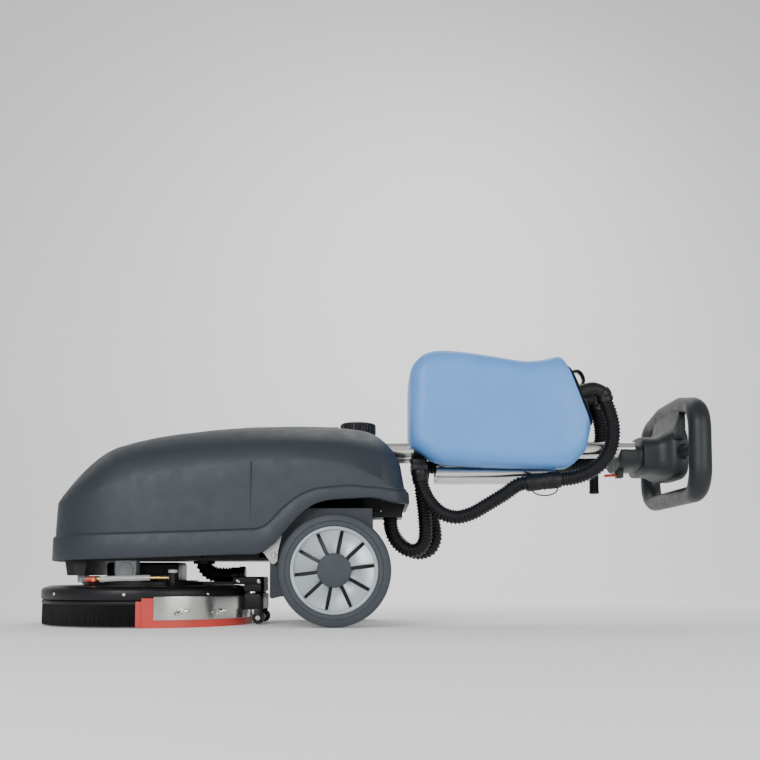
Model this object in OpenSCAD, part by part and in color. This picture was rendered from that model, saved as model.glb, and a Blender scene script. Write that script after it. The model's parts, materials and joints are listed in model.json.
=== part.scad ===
// Walk-behind floor scrubber with a folding handle column.
// Front is -X, the handle is towards +X, +Z is up and the floor is Z = 0.

/* [Wheels] */
// Radius of the large wheels
wheel_r = 112; // [105:1:118]
// Width of a tyre
wheel_w = 45; // [38:1:50]
// Distance of the axle behind the machine's centre line in X
axle_x = -58; // [-62:1:-54]
// Distance from the centre plane to a tyre's outer face
wheel_out = 215; // [212:1:218]

/* [Deck] */
// Position of the brush deck's centre
deck_x = -466; // [-466:1:-464]
// Radius of the deck's rolled rim
deck_r = 217.5; // [214:0.5:217.5]
// Radius of the brush
brush_r = 190; // [180:1:195]

/* [Column] */
// Distance from the centre plane to each column tube
tube_y = 56; // [54:1:58]
// Radius of a column tube
tube_r = 17.5; // [15:0.5:18]
// Height of the tubes when folded flat
pivot_z = 365; // [363:1:367]
// Outer radius of the corrugated hoses
hose_r = 15.5; // [13:0.5:16]

/* [Handle] */
// Distance from the centre plane to a grip's axis
grip_y = 200; // [180:1:200]
// Radius of the ring handle's section
grip_r = 22.5; // [20:0.5:22.5]

/* [Hidden] */
$fn = 64;

axle_z = wheel_r;
axle_r = 10;
fit = 0.05;
rim_r = 84;
hub_r = 32;
blades = 10;
pivot_x = 15;
pin_r = 8;
boss_r = 22;
tube_wall = 1.5;
tube_end = 566;
rail_z = pivot_z - 48;
rail_r = 15.5;
deck_top = 82;
rim_t = 3.5;
collar_r = 103.95;
bolt_r = 2;
frame_z = 132;
frame_t = 6;
gear_x = deck_x - 28;
gear_z = 112;
gear_r = 23;
spigot_low = 284;
spigot_shoulder = 340;
box_half_w = 100;
clamp_r = 21;
channel_top = pivot_z + clamp_r + 1;
blade_r = 219.5;
blade_t = 3.5;
band_t = 1.5;
hood_half_w = 195;
hood_wall = 3;
// The nose starts at nose_x and is nose_l long.
nose_x = -400;
nose_l = 254;
recess_half_w = 88;
cap_x = -16;
tank_half_w = 140;
tank_wall = 3;
// The tank's sloping rear face, which the lid closes: its upper and lower end in X and Z.
mouth_top = [414, 545];
mouth_foot = [470, 405];
lid_tilt = atan((mouth_foot.x - mouth_top.x) / (mouth_top.y - mouth_foot.y));
lid_base = [mouth_top.x + (mouth_top.y - 474) * tan(lid_tilt), 0, 474];
lid_plate = 9;
ring_x = 664.5;
ring_low = 266;
ring_high = 443;
bar_r = 19;
arch = 14;

// Routes of the hoses, as points on their centre lines.
dirty_route = [
    [54, -55, 226], [54, -55, 208], [60, -55, 184], [74, -55, 165], [94, -55, 154], [114, -55, 158],
    [125, -55, 175], [127, -55, 198], [124, -55, 240], [119, -55, 280], [118, -55, 304], [118, -55, 318]
];
vacuum_route = [
    [54, -15, 226], [54, -15, 207], [66, -15, 180], [86, -15, 160], [112, -15, 150], [136, -15, 156],
    [148, -15, 176], [148, -15, 200], [140, -15, 240], [126, -15, 280], [118, -15, 303], [118, -15, 318]
];
outlet_route = [
    [114, -95, 318], [114, -95, 303], [125, -95, 270], [141, -95, 246], [162, -95, 229], [190, -95, 222],
    [222, -95, 230], [254, -95, 248], [290, -95, 270], [308, -95, 283], [322, -95, 290.5], [336, -95, 292]
];
tank_route = [
    [404, -95, 300], [430, -95, 302.8], [458, -95, 312], [484, -95, 328], [504, -95, 352], [514, -95, 382],
    [515, -95, 412], [509, -95, 440], [501, -95, 462]
];
tank_vacuum_route = [
    [130, 0, 334], [200, 0, 334], [290, 0, 334], [380, 0, 335], [440, 0, 338], [475, 0, 346],
    [498, 0, 364], [509, 0, 392], [508, 0, 426], [500, 0, 456.4]
];
suction_route = [
    [-345, 0, 131], [-345, 0, 124], [-337, 0, 112], [-322, 0, 104], [-304, 0, 102], [-287, 0, 102]
];
water_route = [
    [-536, -128, 94], [-528, -128, 94], [-498, -128, 96], [-474, -128, 96], [-444, -128, 97],
    [-434, -128, 97]
];

// A point at parameter t between b and c on the smooth curve through a, b, c, d.
function smooth(a, b, c, d, t) =
    0.5 * (2 * b + (c - a) * t + (2 * a - 5 * b + 4 * c - d) * t * t + (3 * b - a - 3 * c + d) * t * t * t);

// A smooth curve through points, with steps pieces in each span.
function curve(p, steps) = let (n = len(p) - 1) concat(
    [for (i = [0:n - 1]) for (k = [0:steps - 1])
        smooth(p[max(i - 1, 0)], p[i], p[i + 1], p[min(i + 2, n)], k / steps)],
    [p[n]]
);
function unit(v) = v / norm(v);

// Direction of the swept line at point i; both ends follow the route's first and last leg.
function sweep_direction(route, line, i) =
    let (n = len(line) - 1, m = len(route) - 1)
    i == 0 ? unit(route[1] - route[0])
        : i == n ? unit(route[m] - route[m - 1])
        : unit(line[i + 1] - line[i - 1]);

// A tube swept along a route that lies in a plane of constant Y.
module sweep(route, r, sides = 10, steps = 1) {
    line = curve(route, steps);
    n = len(line);
    rings = [for (i = [0:n - 1])
        let (t = sweep_direction(route, line, i), b = cross(t, [0, 1, 0]))
        for (k = [0:sides - 1]) line[i] + r * (cos(360 * k / sides) * [0, 1, 0] + sin(360 * k / sides) * b)
    ];
    walls = [for (i = [0:n - 2]) for (k = [0:sides - 1])
        let (a = i * sides + k, b = i * sides + (k + 1) % sides) [a, b, b + sides, a + sides]
    ];
    first = [for (k = [sides - 1:-1:0]) k];
    last = [for (k = [0:sides - 1]) (n - 1) * sides + k];
    polyhedron(rings, concat([first], walls, [last]));
}

// A cylinder along Y from y = 0 towards +Y.
module rod_y(r, h, r2 = undef) {
    rotate([-90, 0, 0]) cylinder(r1 = r, r2 = is_undef(r2) ? r : r2, h = h);
}

// A cylinder along X from x = 0 towards +X.
module rod_x(r, h) {
    rotate([0, 90, 0]) cylinder(r = r, h = h);
}

// A side outline, drawn in X and Z, thickened to both sides of the centre plane.
module across(half_w) {
    rotate([90, 0, 0]) linear_extrude(height = 2 * half_w, center = true) children();
}

// A block from its lowest to its highest corner.
module block(low, high) {
    translate(low) cube(high - low);
}

// A flat ring with a vertical axis.
module ring(r_out, r_in, low, high) {
    difference() {
        translate([0, 0, low]) cylinder(r = r_out, h = high - low, $fn = 128);
        translate([0, 0, low - 1]) cylinder(r = r_in, h = high - low + 2, $fn = 128);
    }
}

// A ring sector about +X, half_angle to each side, made by turning a rectangle.
module arc_wall(r_in, r_out, low, high, half_angle) {
    rotate([0, 0, -half_angle]) rotate_extrude(angle = 2 * half_angle, $fn = 128)
        translate([r_in, low]) square([r_out - r_in, high - low]);
}

// An oval block along X between x0 and x1, with rounded sides.
module oval_x(x0, x1, half_w, z0, z1) {
    r = (z1 - z0) / 2;
    hull() for (s = [-1, 1]) translate([x0, s * (half_w - r), (z0 + z1) / 2]) rod_x(r, x1 - x0);
}

// Side outline of the hood.
module hood_outline() {
    top = curve([
        [-668, 172], [-656, 256], [-612, 316], [-486, 385], [-310, 413], [-144, 419.5], [-12, 410],
        [42, 372], [76, 304], [91, 262]
    ], 4);
    polygon(concat(
        [[-662, 130]], top,
        [[88, 240], [22, 256], [-66, 251], [-116, 230], [-160, 183], [-206, 142]]
    ));
}

// The nose seen from above is half a superellipse, blunt in front with large soft corners.
module nose(inset) {
    translate([nose_x, 0, 0]) linear_extrude(height = 500) polygon([
        for (a = [-90:5:90]) [
            -(nose_l - inset) * pow(cos(a), 2 / 3),
            sign(a) * (hood_half_w - inset) * pow(abs(sin(a)), 2 / 3)
        ]
    ]);
}

module hood_form(inset) {
    intersection() {
        across(hood_half_w - inset) offset(delta = -inset) hood_outline();
        hull() {
            // Blunt nose and rounded rear corners, seen from above.
            nose(inset);
            for (s = [-1, 1]) translate([50, s * (hood_half_w - inset - 40), 0])
                cylinder(r = 42, h = 500, $fn = 32);
        }
        translate([-700, 0, 0]) rotate([90, 0, 90]) linear_extrude(height = 800) hull() {
            translate([-hood_half_w + inset, 100]) square([2 * (hood_half_w - inset), 210]);
            for (s = [-1, 1]) translate([s * 118, 340 - inset]) circle(r = 66, $fn = 32);
            translate([0, 400 - inset]) scale([5, 1]) circle(r = 20, $fn = 32);
        }
    }
}

module hood() {
    color("#4a5158") resize([0, 0, 0]) difference() {
        hood_form(0);
        hood_form(hood_wall);
        // Open underside, so that the shell lifts off the frame.
        block([-655, -188, 100], [-212, 188, 146]);
        block([-212, -188, 120], [84, 188, 262]);
        // Rear recess that the column swings up through.
        block([-58, -recess_half_w, 336], [100, recess_half_w, 440]);
    }
    // Floor and cheeks of the rear recess.
    color("#4a5158") difference() {
        block([-60, -recess_half_w - 3, 331], [62, recess_half_w + 3, 334]);
        translate([cap_x, 0, 320]) cylinder(r = 26, h = 30);
        for (s = [-1, 1]) block([-8, s * 55 - 27, 320], [38, s * 55 + 32, 350]);
    }
}

module chassis_box() {
    color("#555c63") difference() {
        union() {
            block([-188, -166, 60], [16, 166, 236]);
            translate([-183, -166, 61]) rod_y(5, 332);
        }
        // Hollow, open at the top, for the battery leads and hoses.
        block([-182, -160, 66], [10, 160, 240]);
        translate([axle_x, -170, axle_z]) rod_y(axle_r, 340);
    }
}

module base_frame() {
    color("#26282a") {
        difference() {
            block([-535, -150, frame_z], [-188.5, 150, frame_z + frame_t]);
            translate([-345, 0, 120]) cylinder(r = 18, h = 30);
            // Window above the gear housing.
            block([gear_x - gear_r - 2, -96, frame_z - 1], [gear_x + gear_r + 2, -55, frame_z + frame_t + 1]);
        }
        translate([-345, 0, 0]) ring(23, 18, 126, frame_z);
        for (s = [-1, 1]) block([-325, s * 140 - 6, frame_z + frame_t], [-212, s * 140 + 6, 150]);
    }
}

module axle() {
    color("silver") translate([axle_x, -208, axle_z]) rod_y(axle_r, 416);
}

module tank_form(inset) {
    intersection() {
        across(148 - inset) polygon([
            [-612 + inset, 150 + inset], [-600 + inset, 102 + inset], [-562 - inset, 102 + inset],
            [-556 - inset, 138 + inset], [-330 - inset, 138 + inset], [-330 - inset, 296 + inset],
            [44 - inset, 296 + inset], [44 - inset, 328 - inset], [-72, 328 - inset],
            [-300, 340 - inset], [-470, 300 - inset], [-570, 240 - inset], [-612 + inset, 205]
        ]);
        // Room for the hood all round.
        hull() {
            nose(14 + inset);
            translate([100, 0, 0]) cylinder(r = hood_half_w - 14 - inset, h = 500);
        }
    }
}

module solution_tank() {
    color("#2b2e31") difference() {
        tank_form(0);
        tank_form(tank_wall);
        translate([cap_x, 0, 320]) cylinder(r = 26, h = 20);
        for (s = [-1, 1]) block([-10, s * 59 - 32, 280], [50, s * 59 + 32, 340]);
        translate([-580, -100, 95]) cylinder(r = 8, h = 20);
    }
}

module battery() {
    color("#1d2c3a") block([-324, -110, 138], [-200, 110, 290]);
    color("#333333") for (s = [-1, 1]) translate([-240, s * 70, 290]) cylinder(r = 7, h = 5);
}

module vacuum_motor() {
    color("#3b3b3b") translate([-122, 0, 70]) {
        cylinder(r = 52, h = 90);
        cylinder(r = 44, h = 140);
        translate([0, 0, 115]) rod_x(20, 120);
    }
}

module side_brackets() {
    color("silver") for (s = [-1, 1]) translate([0, s * 175 + 1.5, 0]) rotate([90, 0, 0]) difference() {
        linear_extrude(height = 3) polygon([[-162, 186], [-172, 176], [-204, 150], [-182, 124], [-172, 128]]);
        translate([-180, 143, -1]) cylinder(r = 4 + fit, h = 5);
    }
    color("silver") for (s = [-1, 1]) block([-190, min(s * 166, s * 173.4), 132], [-184, max(s * 166, s * 173.4), 154]);
}

module bracket_bolts() {
    color("silver") for (s = [-1, 1]) translate([-180, s * 176.5, 143]) mirror([0, s < 0 ? 1 : 0, 0]) {
        rod_y(8, 4);
        translate([0, -10, 0]) rod_y(4, 11);
    }
}

module hinge_bracket() {
    color("#2a2c2e") {
        union() {
            for (s = [-1, 1]) for (y = [34.5, 76.5]) hull() {
                translate([pivot_x, min(s * y, s * (y + 4)), pivot_z]) rod_y(16, 4);
                translate([pivot_x - 18, min(s * y, s * (y + 4)), 236]) cube([36, 4, 4]);
            }
            for (s = [-1, 1]) block([-3, min(s * 30, s * 84), 236], [33, max(s * 30, s * 84), 241]);
        }
    }
    color("silver") for (s = [-1, 1]) translate([pivot_x, min(s * 33.5, s * 84.5), pivot_z]) rod_y(pin_r, 51);
}

module hose_outlet_cover() {
    color("#232527") difference() {
        union() {
            block([34, -84, 222], [78, 30, 252]);
            block([16, -84, 222], [34, 30, 234]);
        }
        for (y = [-55, -15]) translate([54, y, 215]) cylinder(r = hose_r + 0.3, h = 11);
    }
}

module filler_neck() {
    color("#1c1d1e") translate([cap_x, 0, 0]) difference() {
        union() {
            translate([0, 0, 317]) cylinder(r = 25.8, h = 86);
            translate([0, 0, 334]) cylinder(r = 33, h = 4);
            translate([0, 0, 384]) cylinder(r = 32, h = 10);
            // Tab that keeps the cap's strap.
            block([24, -14, 384], [47, 14, 391]);
        }
        translate([0, 0, 300]) cylinder(r = 22, h = 110);
        translate([40, 0, 380]) cylinder(r = 3, h = 20);
    }
}

module filler_cap() {
    color("#1c1d1e") translate([cap_x, 0, 0]) difference() {
        union() {
            translate([0, 0, 404]) cylinder(r = 38, h = 21);
            translate([0, 0, 425]) cylinder(r = 34, h = 4);
            for (k = [0:23]) rotate([0, 0, 15 * k]) translate([38, 0, 406]) cylinder(r = 1.2, h = 17, $fn = 16);
        }
        translate([0, 0, 403]) cylinder(r = 27, h = 16);
    }
}

module water_elbow() {
    color("#8d9296") translate([-572, -128, 0]) {
        translate([0, 0, 88]) cylinder(r = 9, h = 14);
        translate([0, 0, 94]) rod_x(8, 14);
    }
}

module valve_body() {
    color("#c9a44a") translate([-558, -128, 94]) {
        rod_x(7, 22);
        translate([13, -18, 0]) rod_y(3, 18);
    }
}

module valve_handle() {
    color("#d8402c") translate([-545, -146, 94]) difference() {
        union() {
            rod_y(6, 7);
            block([-16, 0, -4], [0, 5, 4]);
        }
        translate([0, -1, 0]) rod_y(3 + fit, 9);
    }
}

module water_hose() {
    color("#dfe3e0") sweep(water_route, 6, 8);
}

module hose_barb() {
    color("#c9a44a") translate([-434, -128, 97]) {
        rod_x(4.5, 38);
        for (k = [1:3]) translate([9 * k, 0, 0]) rod_x(5.5, 3);
    }
}

module nozzle_fitting() {
    color("#e8e8e4") translate([-388, -128, deck_top]) {
        cylinder(r = 8, h = 26);
        translate([0, 0, 26]) cylinder(r = 9.5, h = 6);
    }
}

module motor_block() {
    color("#232527") difference() {
        union() {
            block([deck_x - 75, -55, 84], [deck_x + 75, 55, 132]);
            for (s = [-1, 1]) translate([deck_x, 0, 84]) translate([s * 60, 0, 0]) cylinder(r = 14, h = 20);
        }
        translate([deck_x, 0, 83]) cylinder(r = 12 + fit, h = 17);
    }
    color("#232527") for (a = [45:90:315]) translate([deck_x, 0, 0]) rotate([0, 0, a]) translate([60, 0, deck_top])
        cylinder(r = 8, h = 2);
}

module gear_housing() {
    color("#8f9497") translate([gear_x, -88, gear_z]) {
        rod_y(gear_r, 33);
        block([-gear_r, 0, 0], [gear_r, 33, 19.5]);
        translate([0, -3, 0]) rod_y(13, 3);
    }
}

module drive_shaft() {
    color("silver") translate([deck_x, 0, 0]) {
        translate([0, 0, 44]) cylinder(r = 30, h = 10);
        translate([0, 0, 54]) cylinder(r = 12, h = 45);
    }
}

module deck_plate() {
    color("#1d1f20") translate([deck_x, 0, 0]) {
        ring(deck_r, 20, deck_top - 4, deck_top);
        difference() {
            ring(deck_r, deck_r - rim_t, 53, deck_top - 4);
            for (a = [0:45:315]) rotate([0, 0, a]) translate([deck_r - 10, 0, 65]) rod_x(bolt_r + fit, 20);
        }
        // Collar that the squeegee carrier turns on.
        ring(collar_r, 97, deck_top, deck_top + 7.5);
        ring(109, 97, deck_top + 7.5, deck_top + 9);
    }
}

module deck_bolts() {
    color("silver") translate([deck_x, 0, 65]) for (a = [0:45:315]) rotate([0, 0, a])
        translate([deck_r - 6, 0, 0]) {
            rod_x(bolt_r, 6);
            translate([6, 0, 0]) rod_x(3.5, 2.5);
        }
}

module skirt_holder() {
    color("#1a1b1c") translate([deck_x, 0, 0]) ring(deck_r - 0.5, deck_r - 13, 44, 53);
}

module bristle_skirt() {
    color("#151515") translate([deck_x, 0, 0]) rotate([0, 0, 180]) arc_wall(deck_r - 11, deck_r - 2, 2, 44, 105);
}

module brush_block() {
    color("#2a2a2a") translate([deck_x, 0, 0]) ring(brush_r, 20, 30, 44);
    color("#2a2a2a") translate([deck_x, 0, 36]) cylinder(r = 20, h = 8);
}

module brush_bristles() {
    color("#2f4f8f") translate([deck_x, 0, 0]) ring(brush_r - 4, 90, 0, 30);
}

module carrier_ring() {
    color("#1f2122") translate([deck_x, 0, 0]) {
        ring(134, collar_r + fit, 82.5, 88.5);
        for (s = [-1, 1]) block([125, s * 40 - 6, 82.5], [190, s * 40 + 6, 88.5]);
    }
}

module squeegee_blade() {
    color("#d04a48") translate([deck_x, 0, 0]) arc_wall(blade_r, blade_r + blade_t, 0, 58, 81);
}

module squeegee_band() {
    color("#c8cbcb") translate([deck_x, 0, 0])
        arc_wall(blade_r + blade_t, blade_r + blade_t + band_t, 15, 61, 75);
}

module wing_nuts() {
    color("silver") translate([deck_x, 0, 30]) for (a = [-61, -39, 39, 61]) rotate([0, 0, a])
        translate([blade_r + blade_t + band_t, 0, 0]) {
            rod_x(2.5, 12);
            rod_x(6, 4);
            block([1, -9, -2], [9, 9, 2]);
        }
}

module suction_block() {
    color("#161717") {
        difference() {
            block([-288, -62, 31], [-212, 62, 64]);
            translate([deck_x, 0, 30]) cylinder(r = blade_r + blade_t + band_t + 0.1, h = 40, $fn = 128);
        }
        difference() {
            block([-276, -52, 68], [-212, 52, 99]);
            translate([deck_x, 0, 60]) cylinder(r = deck_r + 3, h = 22.5, $fn = 128);
        }
        block([-234, -20, 64], [-214, 20, 68]);
        translate([-287, 0, 102]) rod_x(17, 30);
        for (s = [-1, 1]) for (y = [-9, 6]) block([-232, s * 58 + y, 6], [-216, s * 58 + y + 3, 31]);
    }
    color("silver") for (s = [-1, 1]) translate([-222, s * 58 - 11, 14]) rod_y(3, 22);
}

module guide_roller(s) {
    color("#3a3d40") translate([-222, s * 58 - 5, 14]) difference() {
        rod_y(13.5, 10);
        translate([0, -1, 0]) rod_y(3 + fit, 12);
    }
}

module front_suction_hose() {
    color("#1b1c1d") sweep(suction_route, 17, 12, 2);
}

module dirty_water_hose() {
    color("#1b1c1d") sweep(dirty_route, hose_r, 10, 2);
}

module vacuum_hose() {
    color("#1b1c1d") sweep(vacuum_route, hose_r, 10, 2);
}

module column_tubes() {
    color("silver") for (s = [-1, 1]) translate([pivot_x, s * tube_y, pivot_z]) difference() {
        union() {
            translate([0, -16.5, 0]) rod_y(boss_r, 33);
            translate([20, 0, 0]) rod_x(tube_r, tube_end - pivot_x - 20);
        }
        translate([0, -20, 0]) rod_y(pin_r + fit, 40);
        translate([24, 0, 0]) rod_x(tube_r - tube_wall, tube_end - pivot_x);
    }
}

module lower_rails() {
    color("silver") for (s = [-1, 1]) {
        translate([150, s * tube_y, rail_z]) rod_x(rail_r, 250);
        for (x = [162, 376]) difference() {
            translate([x, s * tube_y, rail_z]) cylinder(r = 7, h = pivot_z - rail_z - 10);
            translate([x - 20, s * tube_y, pivot_z]) rod_x(tube_r + fit, 40);
        }
    }
}

module hose_junction() {
    color("#1b1c1d") difference() {
        union() {
            block([98, -114, 318], [130, 16, 330]);
            block([98, -74, 330], [130, 74, 347]);
            for (s = [-1, 1]) translate([102, s * tube_y, pivot_z]) rod_x(clamp_r, 24);
        }
        for (s = [-1, 1]) translate([90, s * tube_y, pivot_z]) rod_x(tube_r + fit, 50);
    }
}

// Side outline of the recovery tank.
module tank_outline() {
    top = curve([
        [92, 382], [93, 508], [104, 541], [137, 567], [226, 562], [326, 544], [385, 552], [408, 556]
    ], 4);
    polygon(concat(top, [
        mouth_top, mouth_foot, [461, 388], [461, 363], [443, 343], [421, 322], [280, 323], [150, 331], [112, 358]
    ]));
}

module recovery_form(inset) {
    r = 34 - inset;
    intersection() {
        across(tank_half_w) offset(delta = -inset) tank_outline();
        hull() for (s = [-1, 1]) for (x = [126, 436])
            translate([x, s * (tank_half_w - 34), 300]) cylinder(r = r, h = 300, $fn = 48);
        hull() for (s = [-1, 1]) for (z = [340, 534 - inset])
            translate([80, s * (tank_half_w - 34), z]) rod_x(r, 400);
    }
}

// Frame with its X axis along the lid's outward normal.
module at_lid() {
    translate(lid_base) rotate([0, -lid_tilt, 0]) children();
}

module recovery_tank() {
    color("#4f97ef") resize([0, 0, 0]) difference() {
        recovery_form(0);
        difference() {
            recovery_form(tank_wall);
            block([80, -80, 300], [480, 80, channel_top + tank_wall]);
        }
        block([80, -77.5, 300], [480, 77.5, channel_top]);
        at_lid() block([-20, -95, -52], [20, 95, 52]);
    }
}

module tank_lid() {
    color("#1d1f20") at_lid() {
        difference() {
            hull() for (s = [-1, 1]) for (z = [-46, 46])
                translate([0.3, s * 98, z]) rod_x(20, lid_plate - 0.3);
            block([-1, -90, -48], [5, 90, 48]);
        }
        difference() {
            block([lid_plate, -15, 24], [40, 15, 60]);
            block([14, -20, 31], [33, 20, 53]);
        }
    }
}

module lid_elbows() {
    color("#1b1c1d") {
        sweep([[449.3, -95, 481.5], [463, -95, 487], [478, -95, 488], [494.8, -95, 479.5], [501, -95, 462.5]], 16, 12, 2);
        sweep([[453.2, 0, 471.9], [467, 0, 477.4], [481, 0, 479], [495.6, 0, 473], [500, 0, 456.5]], 16, 12, 2);
    }
}

module drain_spigot() {
    color("#1b1c1d") translate([512, 98, 0]) difference() {
        union() {
            translate([0, 0, spigot_low]) cylinder(r = 11, h = spigot_shoulder - spigot_low);
            translate([0, 0, spigot_shoulder]) cylinder(r = 13, h = 36);
            translate([-51, 0, 376]) rod_x(11, 51);
            translate([0, 0, 376]) sphere(r = 13);
        }
        translate([0, 0, spigot_low - 1]) cylinder(r = 8, h = 60);
    }
}

module outlet_hose() {
    color("#1b1c1d") sweep(outlet_route, hose_r, 10, 2);
}

module tank_hose() {
    color("#1b1c1d") sweep(tank_route, hose_r, 10, 2);
}

module tank_vacuum_hose() {
    color("#1b1c1d") sweep(tank_vacuum_route, hose_r, 10, 2);
}

module hose_coupling() {
    color("#161717") sweep([[336, -95, 292], [350, -95, 293.5], [370, -95, 296], [390, -95, 298.5], [404, -95, 300]],
        18, 12);
}

module neck_collar() {
    color("#2a2e2f") difference() {
        union() {
            oval_x(533, 582, 76, 322, 386);
            for (y = [-41, -24]) block([534, y, 308], [548, y + 5, 326]);
        }
        for (s = [-1, 1]) translate([520, s * tube_y, pivot_z]) rod_x(tube_r + fit, tube_end - 520);
    }
    color("silver") translate([541, -42, 314]) rod_y(3, 24);
}

module angle_lever() {
    color("#c8483c") difference() {
        block([508, -35.5, 309.5], [545, -24.5, 318.5]);
        translate([541, -37, 314]) rod_y(3 + fit, 14);
    }
}

module control_box() {
    color("#2e3334") difference() {
        union() {
            oval_x(582, 640, 80, 312, 396);
            hull() for (s = [-1, 1]) for (z = [318, 397])
                translate([632, s * 86, z]) rod_x(14, 40);
            // Console between the box and the handle's top bar.
            hull() for (s = [-1, 1]) {
                translate([640, s * 90, 400]) rod_x(10, 30);
                translate([650, s * 92, ring_high - 2]) rod_x(8, 16);
            }
        }
        top_bar(fit);
        for (s = [-1, 1]) translate([662.5, s * 24, 380]) rod_x(9.3, 12);
        translate([664, 0, 345]) rod_x(8 + fit, 10);
    }
}

// The handle's upper bar, which arches a little towards the middle.
module top_bar(grow) {
    for (s = [-1, 1]) hull() {
        translate([ring_x, s * (grip_y - 50), ring_high]) sphere(r = bar_r + grow, $fn = 32);
        translate([ring_x, s * 60, ring_high + arch]) sphere(r = bar_r + grow, $fn = 32);
    }
    translate([ring_x, -60, ring_high + arch]) rod_y(bar_r + grow, 120, $fn = 32);
}

// Quarter bend of the ring handle, centred on a corner.
module ring_corner(y, z, a) {
    translate([ring_x, y, z]) rotate([0, 90, 0]) rotate([0, 0, a])
        rotate_extrude(angle = 90) translate([50, 0]) circle(r = bar_r, $fn = 48);
}

module handle_ring() {
    color("#232829") {
        for (s = [-1, 1]) {
            translate([ring_x, s * grip_y, ring_low + 50]) cylinder(r = grip_r, h = ring_high - ring_low - 100);
            translate([ring_x, min(s * box_half_w, s * (grip_y - 10)), 358]) rod_y(13, grip_y - 10 - box_half_w);
        }
        translate([ring_x, 50 - grip_y, ring_low]) rod_y(bar_r, 2 * grip_y - 100);
        top_bar(0);
        ring_corner(grip_y - 50, ring_low + 50, 0);
        ring_corner(grip_y - 50, ring_high - 50, 90);
        ring_corner(50 - grip_y, ring_high - 50, 180);
        ring_corner(50 - grip_y, ring_low + 50, 270);
    }
}

module push_button(y) {
    translate([665.5, y, 380]) rod_x(9, 11);
}

module brush_button() {
    color("#2f8f4a") push_button(24);
}

module water_button() {
    color("#2f6fd0") push_button(-24);
}

module key_switch() {
    color("silver") translate([664.5, 0, 345]) {
        rod_x(8, 9);
        translate([9, -1.5, -6]) cube([5, 3, 12]);
    }
}

// One tyre on side s: -1 is the near side, 1 the far side.
module tyre(s) {
    color("#3f454b") translate([axle_x, s > 0 ? wheel_out - wheel_w : -wheel_out, axle_z]) difference() {
        union() {
            translate([0, 5, 0]) rod_y(wheel_r, wheel_w - 10);
            rod_y(wheel_r - 5, 5, wheel_r);
            translate([0, wheel_w - 5, 0]) rod_y(wheel_r, 5, wheel_r - 5);
        }
        translate([0, -1, 0]) rod_y(rim_r, wheel_w + 2);
    }
}

module rim(s) {
    color("#e2e5e6") translate([axle_x, 0, axle_z]) mirror([0, s < 0 ? 1 : 0, 0]) translate([0, wheel_out, 0])
        difference() {
            union() {
                difference() {
                    translate([0, 2 - wheel_w, 0]) rod_y(rim_r, wheel_w - 3);
                    translate([0, 1 - wheel_w, 0]) rod_y(rim_r - 6, wheel_w);
                }
                translate([0, 2 - wheel_w, 0]) rod_y(24, wheel_w - 4);
                translate([0, -10, 0]) rod_y(hub_r, 10);
                translate([0, -20, 0]) rod_y(rim_r - 1, 5);
                for (k = [0:blades - 1]) rotate([0, 36 * k + 10, 0]) block([20, -16, -3], [rim_r - 3, -6, 3]);
            }
            translate([0, -wheel_w, 0]) rod_y(axle_r + fit, wheel_w - 6);
        }
}

chassis_box();
base_frame();
axle();
solution_tank();
hood();
battery();
vacuum_motor();
side_brackets();
bracket_bolts();
hinge_bracket();
hose_outlet_cover();
filler_neck();
filler_cap();
water_elbow();
valve_body();
valve_handle();
water_hose();
hose_barb();
nozzle_fitting();
motor_block();
gear_housing();
drive_shaft();
deck_plate();
deck_bolts();
skirt_holder();
bristle_skirt();
brush_block();
brush_bristles();
carrier_ring();
squeegee_blade();
squeegee_band();
wing_nuts();
suction_block();
guide_roller(-1);  // left_guide_roller
guide_roller(1);  // right_guide_roller
front_suction_hose();
dirty_water_hose();
vacuum_hose();
column_tubes();
lower_rails();
hose_junction();
recovery_tank();
tank_lid();
lid_elbows();
drain_spigot();
outlet_hose();
hose_coupling();
tank_hose();
tank_vacuum_hose();
neck_collar();
control_box();
handle_ring();
brush_button();
water_button();
key_switch();
angle_lever();
tyre(-1);  // left_tyre
rim(-1);  // left_rim
tyre(1);  // right_tyre
rim(1);  // right_rim
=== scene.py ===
import json
import math
import random

import bmesh
import bpy
import numpy as np
from mathutils import Matrix, Vector


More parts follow.
